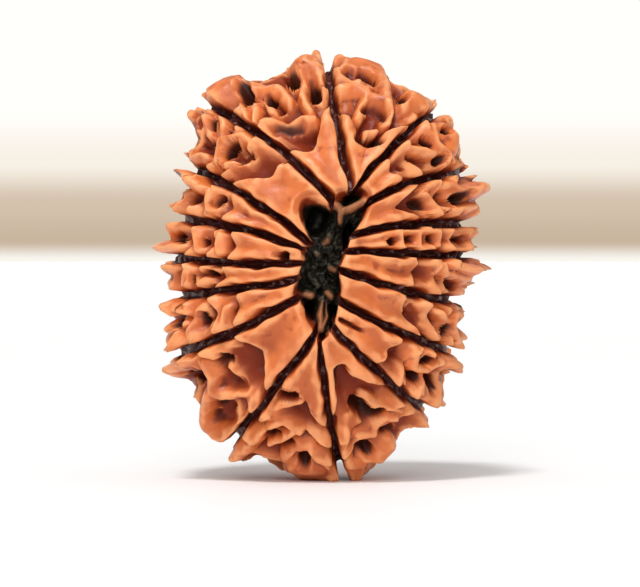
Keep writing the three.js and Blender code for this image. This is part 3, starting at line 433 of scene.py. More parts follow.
# One half of the seed: its groove rings, its depth, and its segments as tables
class Half:
    def __init__(self, side, start, middle, depth):
        self.side = side
        self.start = start
        self.pull = 2 * middle - (start + RIM) / 2
        self.depth = depth
        self.inset = np.zeros(COUNT)

    # Steps whose horns are given as shares of the half meridian
    def set_steps(self, near, far, notch, pits):
        self.near = near
        self.far = far
        self.notch = notch
        self.pits = pits
        for k, marks in enumerate(equator_marks()):
            for across, past, radius, depth in marks:
                self.pits[k].append((across, 1 + self.side * past, radius, depth))

    # The share of the half meridian where a horn of this height shows at x, z from the front
    def share_of(self, place, x, z, height):
        places = np.full(len(SHARES_TRIED), place % COUNT)
        out = self.relief_direction(places, SHARES_TRIED)
        points = self.body(places, SHARES_TRIED) + out * height
        return SHARES_TRIED[np.argmin(np.hypot(points[:, 0] - x, points[:, 2] - z))]

    # The seed's body without relief: place counts grooves, share runs from the slot to the equator
    def body(self, place, share):
        start = on_ring(self.start, place)
        pull = on_ring(self.pull, place)
        rim = on_ring(RIM, place)
        inner = np.linalg.norm(start, axis=1) / np.linalg.norm(rim, axis=1)
        inner = np.minimum(START_MOST, inner)
        begin = np.arcsin(inner)
        angle = begin + (math.pi / 2 - begin) * share
        along = ((np.sin(angle) - inner) / (1 - inner))[:, None]
        flat = start * (1 - along) ** 2 + 2 * pull * along * (1 - along) + rim * along**2
        y = self.side * self.depth * np.maximum(np.cos(angle), 0) ** SECTION_FULLNESS
        turn = 2 * math.pi * place / COUNT
        for waves, height, phase in EQUATOR_WAVES:
            y = y + height * np.sin(waves * turn + phase) * share**3
        return np.column_stack([flat[:, 0], y, flat[:, 1]])

    # The way that relief stands: off the body, leaning towards the rim
    def relief_direction(self, place, share):
        out = self.body(place, share) / BODY_HALF**2
        out /= np.linalg.norm(out, axis=1)[:, None]
        away = on_ring(RIM, place) - on_ring(self.start, place)
        away /= np.linalg.norm(away, axis=1)[:, None]
        lean = LEAN * ease(share, 0, LEAN_FULL_AT) * (1 - share**3)
        out[:, 0] += away[:, 0] * lean
        out[:, 2] += away[:, 1] * lean
        return out / np.linalg.norm(out, axis=1)[:, None]

    # Half of a segment's width
    def width(self, k, share):
        across = self.body(k * 1.0, share) - self.body(k + 1.0, share)
        return np.linalg.norm(across, axis=1) / 2

    # Half a groove's width on one side: it narrows where a horn leans over it
    def groove_width(self, k, side, share, width):
        lips = np.where((side < 0)[:, None], self.near[k, :, 0], self.far[k, :, 0])
        rise = np.zeros(len(k))
        start = np.zeros(len(k))
        for i in range(lips.shape[1]):
            inside = (share >= start) & (share < lips[:, i])
            rise = np.where(inside, (share - start) / (lips[:, i] - start), rise)
            start = lips[:, i]
        later = ease(share, lips[:, 0] - FIRST_HORN_BLEND, lips[:, 0] + FIRST_HORN_BLEND)
        waves = sum(
            amount * np.sin(along * share + onward * k + over * side)
            for amount, along, onward, over in GROOVE_WAVES
        )
        wave = 1 + waves * ease(share, 0, WAVES_FULL_AT)
        base = mix(*GROOVE_HALF_WIDTH, share) * wave
        swell = SERRATION * (1 - rise) ** 2 * later - SQUEEZE * rise**3
        return np.minimum(np.maximum(base + swell, GROOVE_LEAST), GROOVE_MOST * width)

    # Where step i ends, and how high its horns are: 0 is the edge of the slot
    def step_end(self, k, i, across):
        bow = 1 - across**2
        if i == 0:
            return self.inset[k] * bow
        place = mix(self.near[k, i - 1, 0], self.far[k, i - 1, 0], (across + 1) / 2)
        return place - self.notch[k, i - 1] / MERIDIAN * (1 - np.abs(across) ** NOTCH_POWER)

    def horn(self, k, i, across):
        if i == 0:
            return np.full(len(k), SLOT_LIPS)
        blend = ease(across, -LIP_BLEND, LIP_BLEND)
        return mix(self.near[k, i - 1, 1], self.far[k, i - 1, 1], blend)

    # The height of the lips, and of the hollow between them
    def steps(self, k, across, share):
        last = self.near.shape[1]
        lips = np.zeros(len(k))
        middle = np.zeros(len(k))
        start = self.step_end(k, 0, across)
        before = self.horn(k, 0, across)
        before_middle = before
        for i in range(1, last + 2):
            here = (share > start) | (i == 1)
            if i <= last:
                end = self.step_end(k, i, across)
                horn = self.horn(k, i, across)
                horn_middle = horn * (FIRST_HOLLOW if i == 1 else HOLLOW_END)
            else:
                end = np.ones(len(k))
                horn = np.full(len(k), EQUATOR_LIPS)
                horn_middle = np.full(len(k), EQUATOR_HOLLOW)
            foot = horn * FIRST_FOOT if i == 1 else np.minimum(horn, LIP_FOOT)
            foot_middle = horn * FIRST_FOOT if i == 1 else np.minimum(horn_middle, HOLLOW_FOOT)
            fall = ease(share, start, start + STEP_FALL)
            rise = np.clip((share - start - STEP_FALL) / (end - start - STEP_FALL), 0, 1)
            lips = np.where(here, mix(before, mix(foot, horn, rise**LIP_RISE), fall), lips)
            level = mix(foot_middle, horn_middle, rise ** (FIRST_RISE if i == 1 else HOLLOW_RISE))
            middle = np.where(here, mix(before_middle, level, fall), middle)
            start = end
            before = horn
            before_middle = horn_middle
        return lips, middle

    # The depth of the pits at each point, less the height of the knobs
    def pit_depth(self, k, width, across, share):
        arc = math.pi / 2 * math.hypot(self.depth, ARC_RADIUS) / math.sqrt(2)
        deepest = np.zeros(len(k))
        highest = np.zeros(len(k))
        for segment in range(COUNT):
            chosen = k == segment
            for pit_across, place, radius, deep in self.pits[segment]:
                sideways = (across[chosen] - pit_across) * width[chosen]
                distance = np.hypot(sideways, (share[chosen] - place) * arc)
                here = deep * (1 - ease(distance, PIT_WALL[0] * radius, PIT_WALL[1] * radius))
                deepest[chosen] = np.maximum(deepest[chosen], here)
                highest[chosen] = np.minimum(highest[chosen], here)
        return deepest + highest

    # Raises ridges and sinks pits on the slot side, fading out just past the equator
    def marks(self, points, direction, share, top):
        weight = np.ones(len(share)) if self.side < 0 else ease(share, MARKS_FADE_FROM, 1.0)
        pit = np.zeros(len(share))

        # The points near a mark, and where each would show from the front
        def span(chain, radius, height):
            flat = points[:, [0, 2]] + direction[:, [0, 2]] * height
            low = chain[:, :2].min(axis=0) - MARK_REACH * radius
            high = chain[:, :2].max(axis=0) + MARK_REACH * radius
            near = np.flatnonzero(np.all((flat > low) & (flat < high), axis=1) & (weight > 0))
            return near, flat[near]

        for radius, *numbers in RIDGES:
            chain = np.reshape(numbers, (-1, 3))
            near, flat = span(chain, radius, chain[:, 2].mean())
            best = np.full(len(near), FAR_BELOW)
            for a, b in zip(chain, chain[1:]):
                d, t = distance_to(flat, a, b)
                height = mix(a[2], b[2], t)
                best = np.maximum(best, height - RIDGE_SLOPE * radius * (d / radius) ** 2)
            joined = smooth_max(top[near], best, RIDGE_BLEND)
            top[near] = mix(top[near], joined, weight[near])
        for radius, depth, *numbers in PITS:
            ends = np.reshape(numbers, (2, 2))
            near, flat = span(ends, radius, np.clip(top, 0, PIT_RIM)[:, None])
            d, _ = distance_to(flat, *ends)
            bowl = -depth + (depth + PIT_RIM) * (d / (PIT_REACH * radius)) ** 3
            joined = smooth_min(top[near], bowl, PIT_BLEND)
            pit[near] = np.maximum(pit[near], (top[near] - joined) * weight[near])
            top[near] = mix(top[near], joined, weight[near])
        return top, pit

    # Height over the body, how much of a groove's floor each point is, and its pit's depth
    def relief(self, k, across, share):
        width = self.width(k, share)
        groove = self.groove_width(k, np.where(across < 0, -1, 1), share, width)
        distance = (1 - np.abs(across)) * width
        lips, middle = self.steps(k, across, share)
        fit = np.minimum(1, width / FULL_WIDTH)
        crest = LIP_CREST * fit
        spread = LIP_SPREAD * fit
        over = distance - groove
        near_edge = lips * mix(LIP_EDGE, 1, np.sin(math.pi / 2 * np.clip(over / crest, 0, 1)))
        past_crest = mix(middle, lips, np.exp(-(((over - crest) / spread) ** 2)))
        height = np.where(over < crest, near_edge, past_crest)
        place = k + (across + 1) / 2
        points = self.body(place, share)
        pit = self.pit_depth(k, width, across, share)
        floor = -np.minimum(mix(*GROOVE_DEPTH, share**2), FLOOR_MOST * width)
        lumps = FLOOR_LUMPS * ease(share, 0, FLOOR_LUMPS_FULL_AT)
        floor = floor + lumps * noise(points, FLOOR_LUMP_SIZE, FLOOR_LUMP_SEED)
        top = height - pit + wobble_at(points)
        top, marked = self.marks(points, self.relief_direction(place, share), share, top)
        pit = np.maximum(pit, marked)
        # Lumps and pits near the equator, which the slot side's marks don't reach
        rim = ease(share, *RIM_BAND)
        holes = RIM_PITS * rim * ease(noise(points, RIM_PIT_SIZE, RIM_PIT_SEED), *RIM_PIT_CUT)
        top = top + RIM_LUMPS * rim * noise(points, RIM_LUMP_SIZE, RIM_LUMP_SEED) - holes
        pit = np.maximum(pit, holes)
        top = np.maximum(top, floor - PIT_UNDER_FLOOR)
        out_of_groove = ease(distance, GROOVE_WALL[0] * groove, groove + GROOVE_WALL[1])
        return mix(floor, top, out_of_groove), 1 - out_of_groove, pit

    def surface(self, k, across, share):
        place = k + (across + 1) / 2
        height, groove, pit = self.relief(k, across, share)
        points = self.body(place, share)
        direction = self.relief_direction(place, share)
        return points + direction * height[:, None], groove, pit, height


def front_steps(half):
    near = np.zeros((COUNT, 4, 2))
    far = np.zeros((COUNT, 4, 2))
    for k, steps in enumerate(STEPS):
        for i, (near_x, near_z, near_height, far_x, far_z, far_height, _) in enumerate(steps):
            near_place = half.share_of(k + LIP_INSIDE, near_x, near_z, near_height)
            far_place = half.share_of(k + 1 - LIP_INSIDE, far_x, far_z, far_height)
            near[k, i] = min(LAST_PLACE, near_place), near_height
            far[k, i] = min(LAST_PLACE, far_place), far_height
    # Steps never meet
    for lip in (near, far):
        for i in range(2, -1, -1):
            lip[:, i, 0] = np.minimum(lip[:, i, 0], lip[:, i + 1, 0] - STEP_GAP)
    return near, far, np.array(STEPS)[:, :, 6]


BACK_START = RIM / BODY_HALF[[0, 2]]
BACK_START = BACK_START / np.linalg.norm(BACK_START, axis=1)[:, None] * BACK_RING
front = Half(-1, GROOVES[:, 0:2], GROOVES[:, 2:4], FRONT_DEPTH)
front.inset = np.array([INSETS.get(k, 0) for k in range(COUNT)])
front.set_steps(*front_steps(front), [[] for _ in range(COUNT)])
back = Half(1, BACK_START, (RIM + BACK_START) / 2, BACK_DEPTH)
back.set_steps(*back_segments())

# Columns of the fine mesh, as segment, place inside the groove from its middle at 0 to its edge
# at 1, then place over the lip from 0 at that edge to 1 in the segment's middle, and side
COLUMN_GAP = 0.17
LEAST_COLUMNS = 5
GROOVE_ROOM = 0.3
COLUMN_CROWDING = 1.15
GROOVE_COLUMNS = (0.4, 0.75)
FIRST_RISE_ROWS = 30
RISE_ROWS = 24
FALL_ROWS = 5
FOOT_ROWS = 10


def columns():
    made = []
    for k in range(COUNT):
        count = max(LEAST_COLUMNS, round((SPREAD[k] - GROOVE_ROOM) / COLUMN_GAP))
        inward = np.linspace(0, 1, count + 1)[:-1] ** COLUMN_CROWDING
        half = [(g, 0.0) for g in GROOVE_COLUMNS] + [(1.0, i) for i in inward]
        made.append((k, 0.0, 0.0, -1))
        made += [(k, g, i, -1) for g, i in half]
        made.append((k, 1.0, 1.0, -1))
        made += [(k, g, i, 1) for g, i in reversed(half)]
    return [np.array(part) for part in zip(*made)]


# How far across its segment each column stands, from -1 at one groove to 1 at the next
def across_of(side, in_groove, inward, groove, width):
    distance = groove * in_groove + inward * (width - groove)
    return side * (1 - distance / width)


# The rows of the fine mesh, as shares of the half meridian that follow the steps
def row_shares(half, k, across):
    rows = []
    last = half.near.shape[1]
    start = half.step_end(k, 0, across)
    for i in range(1, last + 1):
        end = half.step_end(k, i, across)
        rise_rows = FIRST_RISE_ROWS if i == 1 else RISE_ROWS
        for step in range(rise_rows):
            rows.append(mix(start, end, step / rise_rows))
        for step in range(FALL_ROWS):
            rows.append(end + STEP_FALL * step / FALL_ROWS)
        start = end + STEP_FALL
    for step in range(FOOT_ROWS):
        rows.append(mix(start, 1.0, step / FOOT_ROWS))
    return np.array(rows)


# One half's rings of points, with how much of a groove's floor, of a pit and how high each is
def half_rings(half):
    k, in_groove, inward, side = columns()
    across_side = np.where(in_groove < 1, side * 1.0, side * (1 - inward))
    shares = row_shares(half, k, across_side)
    middle = in_groove == 0
    before = row_shares(half, (k[middle] - 1) % COUNT, np.ones(COUNT))
    shares[:, middle] = (shares[:, middle] + before) / 2
    # Inside the groove, rows lead from its middle to its edge
    for segment in range(COUNT):
        centre = shares[:, middle][:, segment]
        after = shares[:, middle][:, (segment + 1) % COUNT]
        own = k == segment
        near = own & (side < 0) & (in_groove > 0) & (in_groove < 1)
        far = own & (side > 0) & (in_groove > 0) & (in_groove < 1)
        shares[:, near] = mix(centre[:, None], shares[:, near], in_groove[near])
        shares[:, far] = mix(after[:, None], shares[:, far], in_groove[far])
    rows, count = shares.shape
    share = shares.ravel()
    k, in_groove, inward, side = (np.tile(part, rows) for part in (k, in_groove, inward, side))
    width = half.width(k, share)
    groove = half.groove_width(k, side, share, width)
    across = across_of(side, in_groove, inward, groove, width)
    points, *masks = half.surface(k, across, share)
    return points.reshape(rows, count, 3), *(mask.reshape(rows, count) for mask in masks)


# The slot's floor, in heights over the slot end: its level, its lumps as height, size and seed,
# and its rings and the foot of its wall as shares of the way out to its rim. Strands and bumps are
# radius, then points as x, z and height, and holes are radius, depth, x, z, x, z. Blends are
# squares of lengths.
SLOT_FLOOR = -1.5
SLOT_LUMPS = ((0.4, 0.6, 5), (0.25, 0.25, 6))
SLOT_RINGS = np.linspace(0.975, 0.03, 30)
SLOT_EDGE = 0.82
BUMP_SLOPE = 1.3
BUMP_BLEND = 0.0064
HOLE_RIM = 1.0
HOLE_BLEND = 0.0225
SLOT_BUMPS = [
    [0.2, -0.7, 5.1, -0.5, 0.0, 4.9, -0.3, 1.1, 4.4, -0.2, 1.5, 4.0, -0.3],
    [0.18, 1.4, 4.0, -0.3, 2.1, 4.2, -0.2, 3.0, 4.7, -0.3], [0.16, 1.4, 4.1, -0.3, 1.4, 3.2, -0.6],
    [0.35, 0.1, 1.8, -0.8, 0.4, 2.0, -0.7], [0.3, 0.6, -0.1, -0.7, 0.9, -0.2, -0.7],
    [0.28, -1.2, -1.9, -0.6, -0.9, -2.0, -0.5], [0.25, -0.5, 1.0, -0.9, -0.2, 0.9, -0.9],
    [0.22, 0.3, -1.9, -0.5, 0.5, -2.1, -0.5], [0.4, -0.9, -0.6, -1.0, -0.4, -1.3, -1.1],
    [0.15, -0.1, -2.4, -0.8, -0.25, -3.3, -0.4, -0.1, -4.4, -0.4],
    [0.13, 0.2, -2.5, -0.9, 0.25, -3.4, -0.6, 0.0, -4.4, -0.5],
]
SLOT_HOLES = [
    [0.9, 4.0, -0.5, 3.1, -0.1, 4.0], [0.7, 4.2, 1.7, 5.1, 2.7, 5.4], [0.45, 4.0, 1.9, 2.9, 2.0, 1.2],
    [0.5, 3.6, -0.9, -3.0, -0.9, -3.4], [0.4, 3.6, 0.8, -3.0, 0.8, -3.3],
    [0.4, 3.4, -0.3, -4.6, -0.1, -5.0], [0.3, 3.0, 0.8, -4.1, 0.8, -4.4],
]


# Rings from the slot's rim to its middle, with how high and how far into the slot each point is
def slot_rings(half, rim):
    middle = rim.mean(axis=0)
    rings = []
    heights = []
    sinks = []
    for share in SLOT_RINGS:
        ring = mix(middle, rim, share)
        flat = ring[:, [0, 2]]
        level = SLOT_FLOOR
        for height, size, seed in SLOT_LUMPS:
            level = level + height * noise(ring * [1, 0, 1], size, seed)
        for radius, depth, *numbers in SLOT_HOLES:
            d, _ = distance_to(flat, *np.reshape(numbers, (2, 2)))
            bowl = -depth + (depth - HOLE_RIM) * (d / radius) ** 4
            level = smooth_min(level, bowl, HOLE_BLEND)
        for radius, *numbers in SLOT_BUMPS:
            chain = np.reshape(numbers, (-1, 3))
            for a, b in zip(chain, chain[1:]):
                d, t = distance_to(flat, a, b)
                bump = mix(a[2], b[2], t) - BUMP_SLOPE * radius * (d / radius) ** 2
                level = smooth_max(level, bump, BUMP_BLEND)
        edge = half.depth - half.side * rim[:, 1]
        sunk = ease(share, 1.0, SLOT_EDGE)
        heights.append(level * sunk)
        sinks.append(np.full(len(rim), sunk))
        ring[:, 1] = half.side * (half.depth - mix(edge, -level, sunk))
        rings.append(ring)
    centre = rings[-1].mean(axis=0)
    return np.array(rings), np.array(heights), np.array(sinks), centre


# The opening at the far end: shares of the way out to its rim, and depths
OPENING = ((0.93, 0.25), (0.85, 0.55), (0.7, 0.85), (0.5, 1.05), (0.25, 1.1))
OPENING_FALL = 0.3


def opening_rings(half, rim):
    middle = rim.mean(axis=0)
    rings = []
    for share, depth in OPENING:
        ring = mix(middle, rim, share)
        level = half.depth - depth
        ring[:, 1] = half.side * np.minimum(level, half.side * ring[:, 1] - OPENING_FALL * depth)
        rings.append(ring)
    centre = middle.copy()
    centre[1] = half.side * half.depth - half.side * OPENING[-1][1]
    return np.array(rings), centre


# The whole surface: its points, its faces, and masks for the skin
def seed_grid():
    f_points, f_groove, f_pit, f_height = half_rings(front)
    b_points, b_groove, b_pit, b_height = half_rings(back)
    k, in_groove, inward, side = columns()
    share = np.ones(len(k))
    width = front.width(k, share)
    groove = front.groove_width(k, side, share, width)
    across = across_of(side, in_groove, inward, groove, width)
    e_points, e_groove, e_pit, e_height = front.surface(k, across, share)
    slot, slot_heights, slot_sinks, slot_middle = slot_rings(front, f_points[0])
    hole, hole_middle = opening_rings(back, b_points[0])
    points = np.concatenate([slot[::-1], f_points, e_points[None], b_points[::-1], hole])

    def stack(slot_value, f, e, b, hole_value):
        slot_values = np.zeros((len(slot), len(k))) + slot_value
        hole_values = np.full((len(hole), len(k)), hole_value)
        return np.concatenate([slot_values, f, e[None], b[::-1], hole_values]).ravel()

    # The slot's and the far opening's own values come first and last
    masks = {
        "groove": stack(np.tile(f_groove[0], (len(slot), 1)) * (1 - slot_sinks[::-1]),
                        f_groove, e_groove, b_groove, 0.0),
        "pit": stack(0.0, f_pit, e_pit, b_pit, 0.0),
        "rise": stack(slot_heights[::-1], f_height, e_height, b_height, -1.0),
        # The slot mask also paints shade into the far opening
        "slot": stack(slot_sinks[::-1], f_pit * 0, e_pit * 0, b_pit * 0, 0.6),
    }
    rows, count = points.shape[:2]
    points = np.concatenate([points.reshape(-1, 3), slot_middle[None], hole_middle[None]])
    for name, value in (("groove", 0.0), ("pit", 0.0), ("rise", -1.0), ("slot", 1.0)):
        masks[name] = np.concatenate([masks[name], [value, value]])
    c = np.arange(count)
    after = (c + 1) % count
    row_starts = np.arange(rows - 1)[:, None] * count
    a = (row_starts + c).ravel()
    b = (row_starts + after).ravel()
    quads = np.column_stack([a, b, b + count, a + count])
    last = (rows - 1) * count
    caps = np.concatenate([
        np.column_stack([np.full(count, len(points) - 2), after, c]),
        np.column_stack([np.full(count, len(points) - 1), last + c, last + after]),
    ])
    return points, quads, caps, masks


# Bends every straight edge a little, by waves of these sizes and amounts
WARPS = ((1.6, 0.16), (0.6, 0.07))


def warped(points):
    moved = points.copy()
    for scale, amount in WARPS:
        for axis in range(3):
            moved[:, axis] += amount * noise(points, scale, 11 * axis + round(10 * scale))
    return moved


# How far each point stands over the average of the surface around it, along its normal
def convexity(points, quads, scale):
    a, b, c, d = (points[quads[:, n]] for n in range(4))
    facing = np.cross(c - a, d - b) / 2
    area = np.linalg.norm(facing, axis=1)
    normals = np.zeros_like(points)
    weight = np.zeros(len(points))
    for corner in range(4):
        np.add.at(normals, quads[:, corner], facing)
        np.add.at(weight, quads[:, corner], area)
    normals /= np.linalg.norm(normals, axis=1)[:, None] + TINY
    cell = np.floor(points / scale).astype(np.int64)
    f = points / scale - cell
    cell -= cell.min(axis=0)
    size = cell.max(axis=0) + 2
    keys = []
    shares = []
    for corner in range(8):
        step = np.array([corner & 1, corner >> 1 & 1, corner >> 2 & 1])
        at = cell + step
        keys.append((at[:, 0] * size[1] + at[:, 1]) * size[2] + at[:, 2])
        shares.append(np.prod(np.where(step, f, 1 - f), axis=1))
    total = int(np.prod(size))
    sums = np.zeros((4, total))
    for key, share in zip(keys, shares):
        sums[3] += np.bincount(key, share * weight, total)
        for axis in range(3):
            sums[axis] += np.bincount(key, share * weight * points[:, axis], total)
    gathered = sum(share * sums[:, key] for key, share in zip(keys, shares))
    mean = (gathered[:3] / (gathered[3] + TINY)).T
    return np.sum((points - mean) * normals, axis=1)


# A new object in the scene
def mesh_object(name, points, faces):
    mesh = bpy.data.meshes.new(name)
    mesh.from_pydata(points, [], faces)
    mesh.update()
    piece = bpy.data.objects.new(name, mesh)
    bpy.context.scene.collection.objects.link(piece)
    return piece


points, quads, caps, masks = seed_grid()
points = warped(points)
# Convexity at two scales: the small one chooses the painted highlight on edges and the painted shade
# in creases, the large one the painted shade in hollows
masks["edge"] = convexity(points, quads, scale=0.5)
masks["hollow"] = convexity(points, quads, scale=1.3)
points = (points - [SHIFT_X, SHIFT_Y, -REST_HEIGHT]) * MM
seed = mesh_object("rudraksha_seed_fine", points.tolist(), quads.tolist() + caps.tolist())
for mask, values in masks.items():
    attribute = seed.data.attributes.new(mask, "FLOAT", "POINT")
    attribute.data.foreach_set("value", values.astype(np.float32))


# Adds a modifier and bakes it into the mesh
def apply(piece, kind, **values):
    modifier = piece.modifiers.new(kind.lower(), kind)
    for key, value in values.items():
        setattr(modifier, key, value)
    bpy.context.view_layer.objects.active = piece
    with bpy.context.temp_override(object=piece, active_object=piece):
        bpy.ops.object.modifier_apply(modifier=modifier.name)


TRIANGLES = 190000
apply(seed, "DECIMATE", ratio=min(1.0, TRIANGLES / (2 * len(quads))))

# The flat spot that the seed stands on, cut by a block below the floor
BLOCK = 0.04
BLOCK_FACES = [
    (0, 1, 3, 2), (4, 6, 7, 5), (0, 4, 5, 1), (2, 3, 7, 6), (0, 2, 6, 4), (1, 5, 7, 3),
]
corners = [(x, y, z) for x in (-BLOCK, BLOCK) for y in (-BLOCK, BLOCK) for z in (-BLOCK, 0)]
block = mesh_object("block", corners, BLOCK_FACES)
apply(seed, "BOOLEAN", operation="DIFFERENCE", object=block, solver="MANIFOLD")
bpy.data.objects.remove(block)
for polygon in seed.data.polygons:
    polygon.use_smooth = True


# Colours of the skin: its own tones on the ridges and in spots; painted shade low down, in hollows, in
# creases and in pits, and a painted highlight on edges; then the grooves' floor, dark gunk with
# painted shade and painted glints on its lumps, and the slot's floor, painted shade mottled like gunk,
# with what stands in it
ORANGES = ((0.56, 0.122, 0.027, 1), (0.72, 0.185, 0.044, 1))
SPOT = (0.40, 0.072, 0.018, 1)
LOW_SHADE = (0.25, 0.032, 0.008, 1)
HOLLOW_SHADE = (0.20, 0.024, 0.006, 1)
EDGE_HIGHLIGHT = (0.88, 0.34, 0.13, 1)
CREASE_SHADE = (0.16, 0.018, 0.006, 1)
PIT_SHADE = (0.05, 0.010, 0.005, 1)
GROOVE_GUNK_SHADE_AND_GLINTS = ((0.07, 0.012, 0.009, 1), (0.32, 0.18, 0.16, 1))
SLOT_SHADE_AND_GUNK = ((0.008, 0.007, 0.004, 1), (0.075, 0.065, 0.045, 1))
STRAND = (0.36, 0.14, 0.06, 1)


def new_material(name):
    material = bpy.data.materials.new(name)
    material.use_nodes = True
    tree = material.node_tree
    return material, tree.nodes, tree.links, tree.nodes["Principled BSDF"]


# The seed's skin: masks of the relief and clouds of noise choose its colours, painted shade and
# painted highlights among them
def skin():
    material, nodes, links, shader = new_material("seed_skin")

    def node(kind, **inputs):
        made = nodes.new(kind)
        for key, value in inputs.items():
            made.inputs[key].default_value = value
        return made

    def attribute(name):
        made = nodes.new("ShaderNodeAttribute")
        made.attribute_name = name
        return made.outputs["Fac"]

    def blend(factor, a, b):
        made = nodes.new("ShaderNodeMix")
        made.data_type = "RGBA"
        for socket, value in ((made.inputs[0], factor), (made.inputs[6], a), (made.inputs[7], b)):
            if isinstance(value, (tuple, float)):
                socket.default_value = value
            else:
                links.new(value, socket)
        return made.outputs[2]

    def remap(value, low, high, to_low=0.0, to_high=1.0):
        limits = {"From Min": low, "From Max": high, "To Min": to_low, "To Max": to_high}
        made = node("ShaderNodeMapRange", **limits)
        made.interpolation_type = "SMOOTHSTEP"
        links.new(value, made.inputs["Value"])
        return made.outputs["Result"]

    coordinates = nodes.new("ShaderNodeTexCoord").outputs["Object"]

    def cloud(scale, detail):
        made = node("ShaderNodeTexNoise", Scale=scale, Detail=detail)
        links.new(coordinates, made.inputs["Vector"])
        return made.outputs["Fac"]

    colour = blend(remap(cloud(350, 3), 0.35, 0.65), *ORANGES)
    # The grooves' floor: dark gunk with painted shade, and painted glints in spots
    groove_gunk_shade_and_glints = blend(remap(cloud(1900, 2), 0.57, 0.68), *GROOVE_GUNK_SHADE_AND_GLINTS)
    # The slot's floor: near-black painted shade of a deep hole, mottled like gunk, with its strands in
    # their own colour where they stand high
    shaded_slot_floor = blend(remap(cloud(2200, 3), 0.5, 0.72), *SLOT_SHADE_AND_GUNK)
    shaded_slot_floor = blend(remap(attribute("rise"), -1.05, -0.35), shaded_slot_floor, STRAND)
    # Each layer covers those before it where its mask passes from the first value to the second
    for mask, low, high, layer in (
        (cloud(900, 5), 0.56, 0.7, SPOT),
        # painted shade: darker where the relief stands low
        (attribute("rise"), 0.55, -0.3, LOW_SHADE),
        # painted shade in the hollows
        (attribute("hollow"), 0.05, -0.4, HOLLOW_SHADE),
        # painted highlight on convex edges
        (attribute("edge"), 0.02, 0.16, EDGE_HIGHLIGHT),
        # painted shade in creases
        (attribute("edge"), -0.02, -0.16, CREASE_SHADE),
        # painted shade in the pits
        (attribute("pit"), 0.3, 0.9, PIT_SHADE),
        # the grooves' floor, with its painted shade and painted glints
        (attribute("groove"), 0.25, 0.75, groove_gunk_shade_and_glints),
        # painted shade on the slot's floor and in the far opening
        (attribute("slot"), 0.35, 0.9, shaded_slot_floor),
    ):
        colour = blend(remap(mask, low, high), colour, layer)
    links.new(colour, shader.inputs["Base Color"])
    # Grooves are a little glossier, and low places shine less
    roughness = remap(attribute("groove"), 0.2, 0.8, 0.38, 0.3)
    shine = remap(attribute("rise"), -0.4, 0.7, 0.15, 0.42)
    links.new(roughness, shader.inputs["Roughness"])
    links.new(shine, shader.inputs["Specular IOR Level"])
    shader.inputs["Subsurface Weight"].default_value = 0.12
    shader.inputs["Subsurface Radius"].default_value = (0.0008, 0.0003, 0.0001)
    shader.inputs["Subsurface Scale"].default_value = 1.0
    bump = node("ShaderNodeBump", Strength=0.5, Distance=0.00015)
    links.new(cloud(1500, 5), bump.inputs["Height"])
    links.new(bump.outputs["Normal"], shader.inputs["Normal"])
    return material


seed.data.materials.clear()
seed.data.materials.append(skin())
for polygon in seed.data.polygons:
    polygon.material_index = 0
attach(seed, "root")
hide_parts("rudraksha_seed")


# A flat rectangle through four corners, for the floor and the backdrop
def sheet(name, corners, material):
    made = mesh_object(name, corners, [(0, 1, 2, 3)])
    made.data.materials.append(material)


FLOOR_HALF = 1.5
BACKDROP_Y = 0.85
BACKDROP_HEIGHT = 0.3
# The backdrop's colours up to BAND_TOP, as shares of it
BAND_TOP = 0.07
BAND = ((0.0, (0.93, 0.90, 0.85, 1)), (0.08, (0.55, 0.43, 0.31, 1)), (0.22, (0.62, 0.50, 0.38, 1)),
        (0.38, (0.90, 0.84, 0.75, 1)), (0.6, (1.0, 0.98, 0.94, 1)))


def floor_paint():
    material, _, _, shader = new_material("floor")
    shader.inputs["Base Color"].default_value = (0.93, 0.93, 0.93, 1)
    shader.inputs["Roughness"].default_value = 0.6
    return material


# White, with a blurred warm band low down
def backdrop_paint():
    material, nodes, links, shader = new_material("backdrop")
    coordinates = nodes.new("ShaderNodeTexCoord")
    parts = nodes.new("ShaderNodeSeparateXYZ")
    links.new(coordinates.outputs["Object"], parts.inputs["Vector"])
    height = nodes.new("ShaderNodeMapRange")
    height.inputs["From Max"].default_value = BAND_TOP
    links.new(parts.outputs["Z"], height.inputs["Value"])
    ramp = nodes.new("ShaderNodeValToRGB")
    ramp.color_ramp.interpolation = "EASE"
    ramp.color_ramp.elements[0].color = BAND[0][1]
    ramp.color_ramp.elements[1].position, ramp.color_ramp.elements[1].color = BAND[-1]
    for place, colour in BAND[1:-1]:
        ramp.color_ramp.elements.new(place).color = colour
    links.new(height.outputs["Result"], ramp.inputs["Fac"])
    links.new(ramp.outputs["Color"], shader.inputs["Emission Color"])
    shader.inputs["Base Color"].default_value = (0, 0, 0, 1)
    shader.inputs["Emission Strength"].default_value = 1.0
    return material


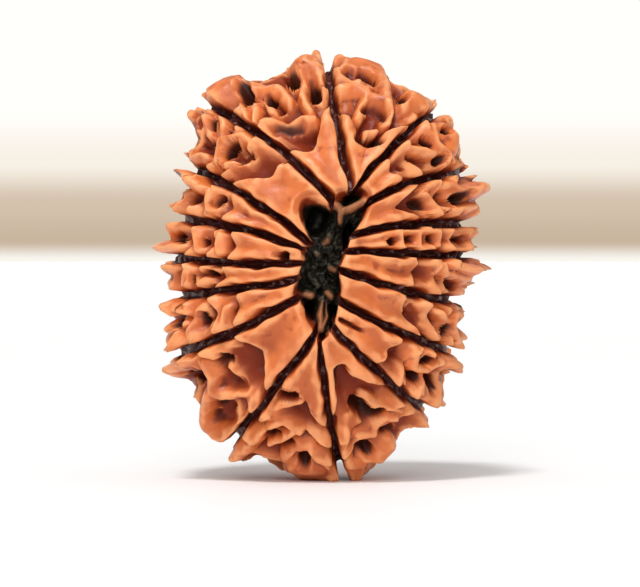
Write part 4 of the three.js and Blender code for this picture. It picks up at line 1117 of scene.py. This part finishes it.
sheet("floor", [
    (-FLOOR_HALF, -FLOOR_HALF, 0), (FLOOR_HALF, -FLOOR_HALF, 0),
    (FLOOR_HALF, BACKDROP_Y, 0), (-FLOOR_HALF, BACKDROP_Y, 0),
], floor_paint())
sheet("backdrop", [
    (-FLOOR_HALF, BACKDROP_Y, 0), (FLOOR_HALF, BACKDROP_Y, 0),
    (FLOOR_HALF, BACKDROP_Y, BACKDROP_HEIGHT), (-FLOOR_HALF, BACKDROP_Y, BACKDROP_HEIGHT),
], backdrop_paint())

world = bpy.data.worlds.new("studio")
world.use_nodes = True
background = world.node_tree.nodes["Background"]
background.inputs["Color"].default_value = (1, 1, 1, 1)
background.inputs["Strength"].default_value = 0.4
bpy.context.scene.world = world
bpy.context.scene.view_settings.view_transform = "Standard"


# Lights as kind, name, position, strength and size, which is a disk's width or a sun's spread
LIT = Vector((0, 0, 0.016))
LIGHTS = (
    ("AREA", "front", (-0.05, -0.5, 0.3), 0.9, 0.3),
    ("SUN", "sun", (-0.04, -0.12, 0.27), 1.8, math.radians(12)),
    ("SUN", "sky", (0, -0.05, 0.3), 0.4, math.radians(100)),
)
for kind, name, position, strength, size in LIGHTS:
    light = bpy.data.lights.new(name, kind)
    light.energy = strength
    if kind == "AREA":
        light.shape = "DISK"
        light.size = size
    else:
        light.angle = size
    lamp = bpy.data.objects.new(name, light)
    lamp.location = position
    lamp.rotation_euler = (LIT - Vector(position)).to_track_quat("-Z", "Y").to_euler()
    bpy.context.scene.collection.objects.link(lamp)

# The photograph's view: its scale and its middle on the seed
PIXELS_PER_MM = 13.4
IMAGE_WIDTH = 640
LENS = 250
SENSOR = 36
CAMERA_HEIGHT = math.radians(1.5)
TARGET = Vector((-0.0001, 0, 0.0138))
camera_data = bpy.data.cameras.new("camera")
camera_data.lens = LENS
camera_data.sensor_width = SENSOR
camera_data.clip_start = 0.01
distance = IMAGE_WIDTH / PIXELS_PER_MM * LENS / SENSOR * MM
away = Vector((0, -math.cos(CAMERA_HEIGHT), math.sin(CAMERA_HEIGHT)))
camera = bpy.data.objects.new("camera", camera_data)
camera.location = TARGET + away * distance
camera.rotation_euler = (TARGET - camera.location).to_track_quat("-Z", "Y").to_euler()
bpy.context.scene.collection.objects.link(camera)
bpy.context.scene.camera = camera
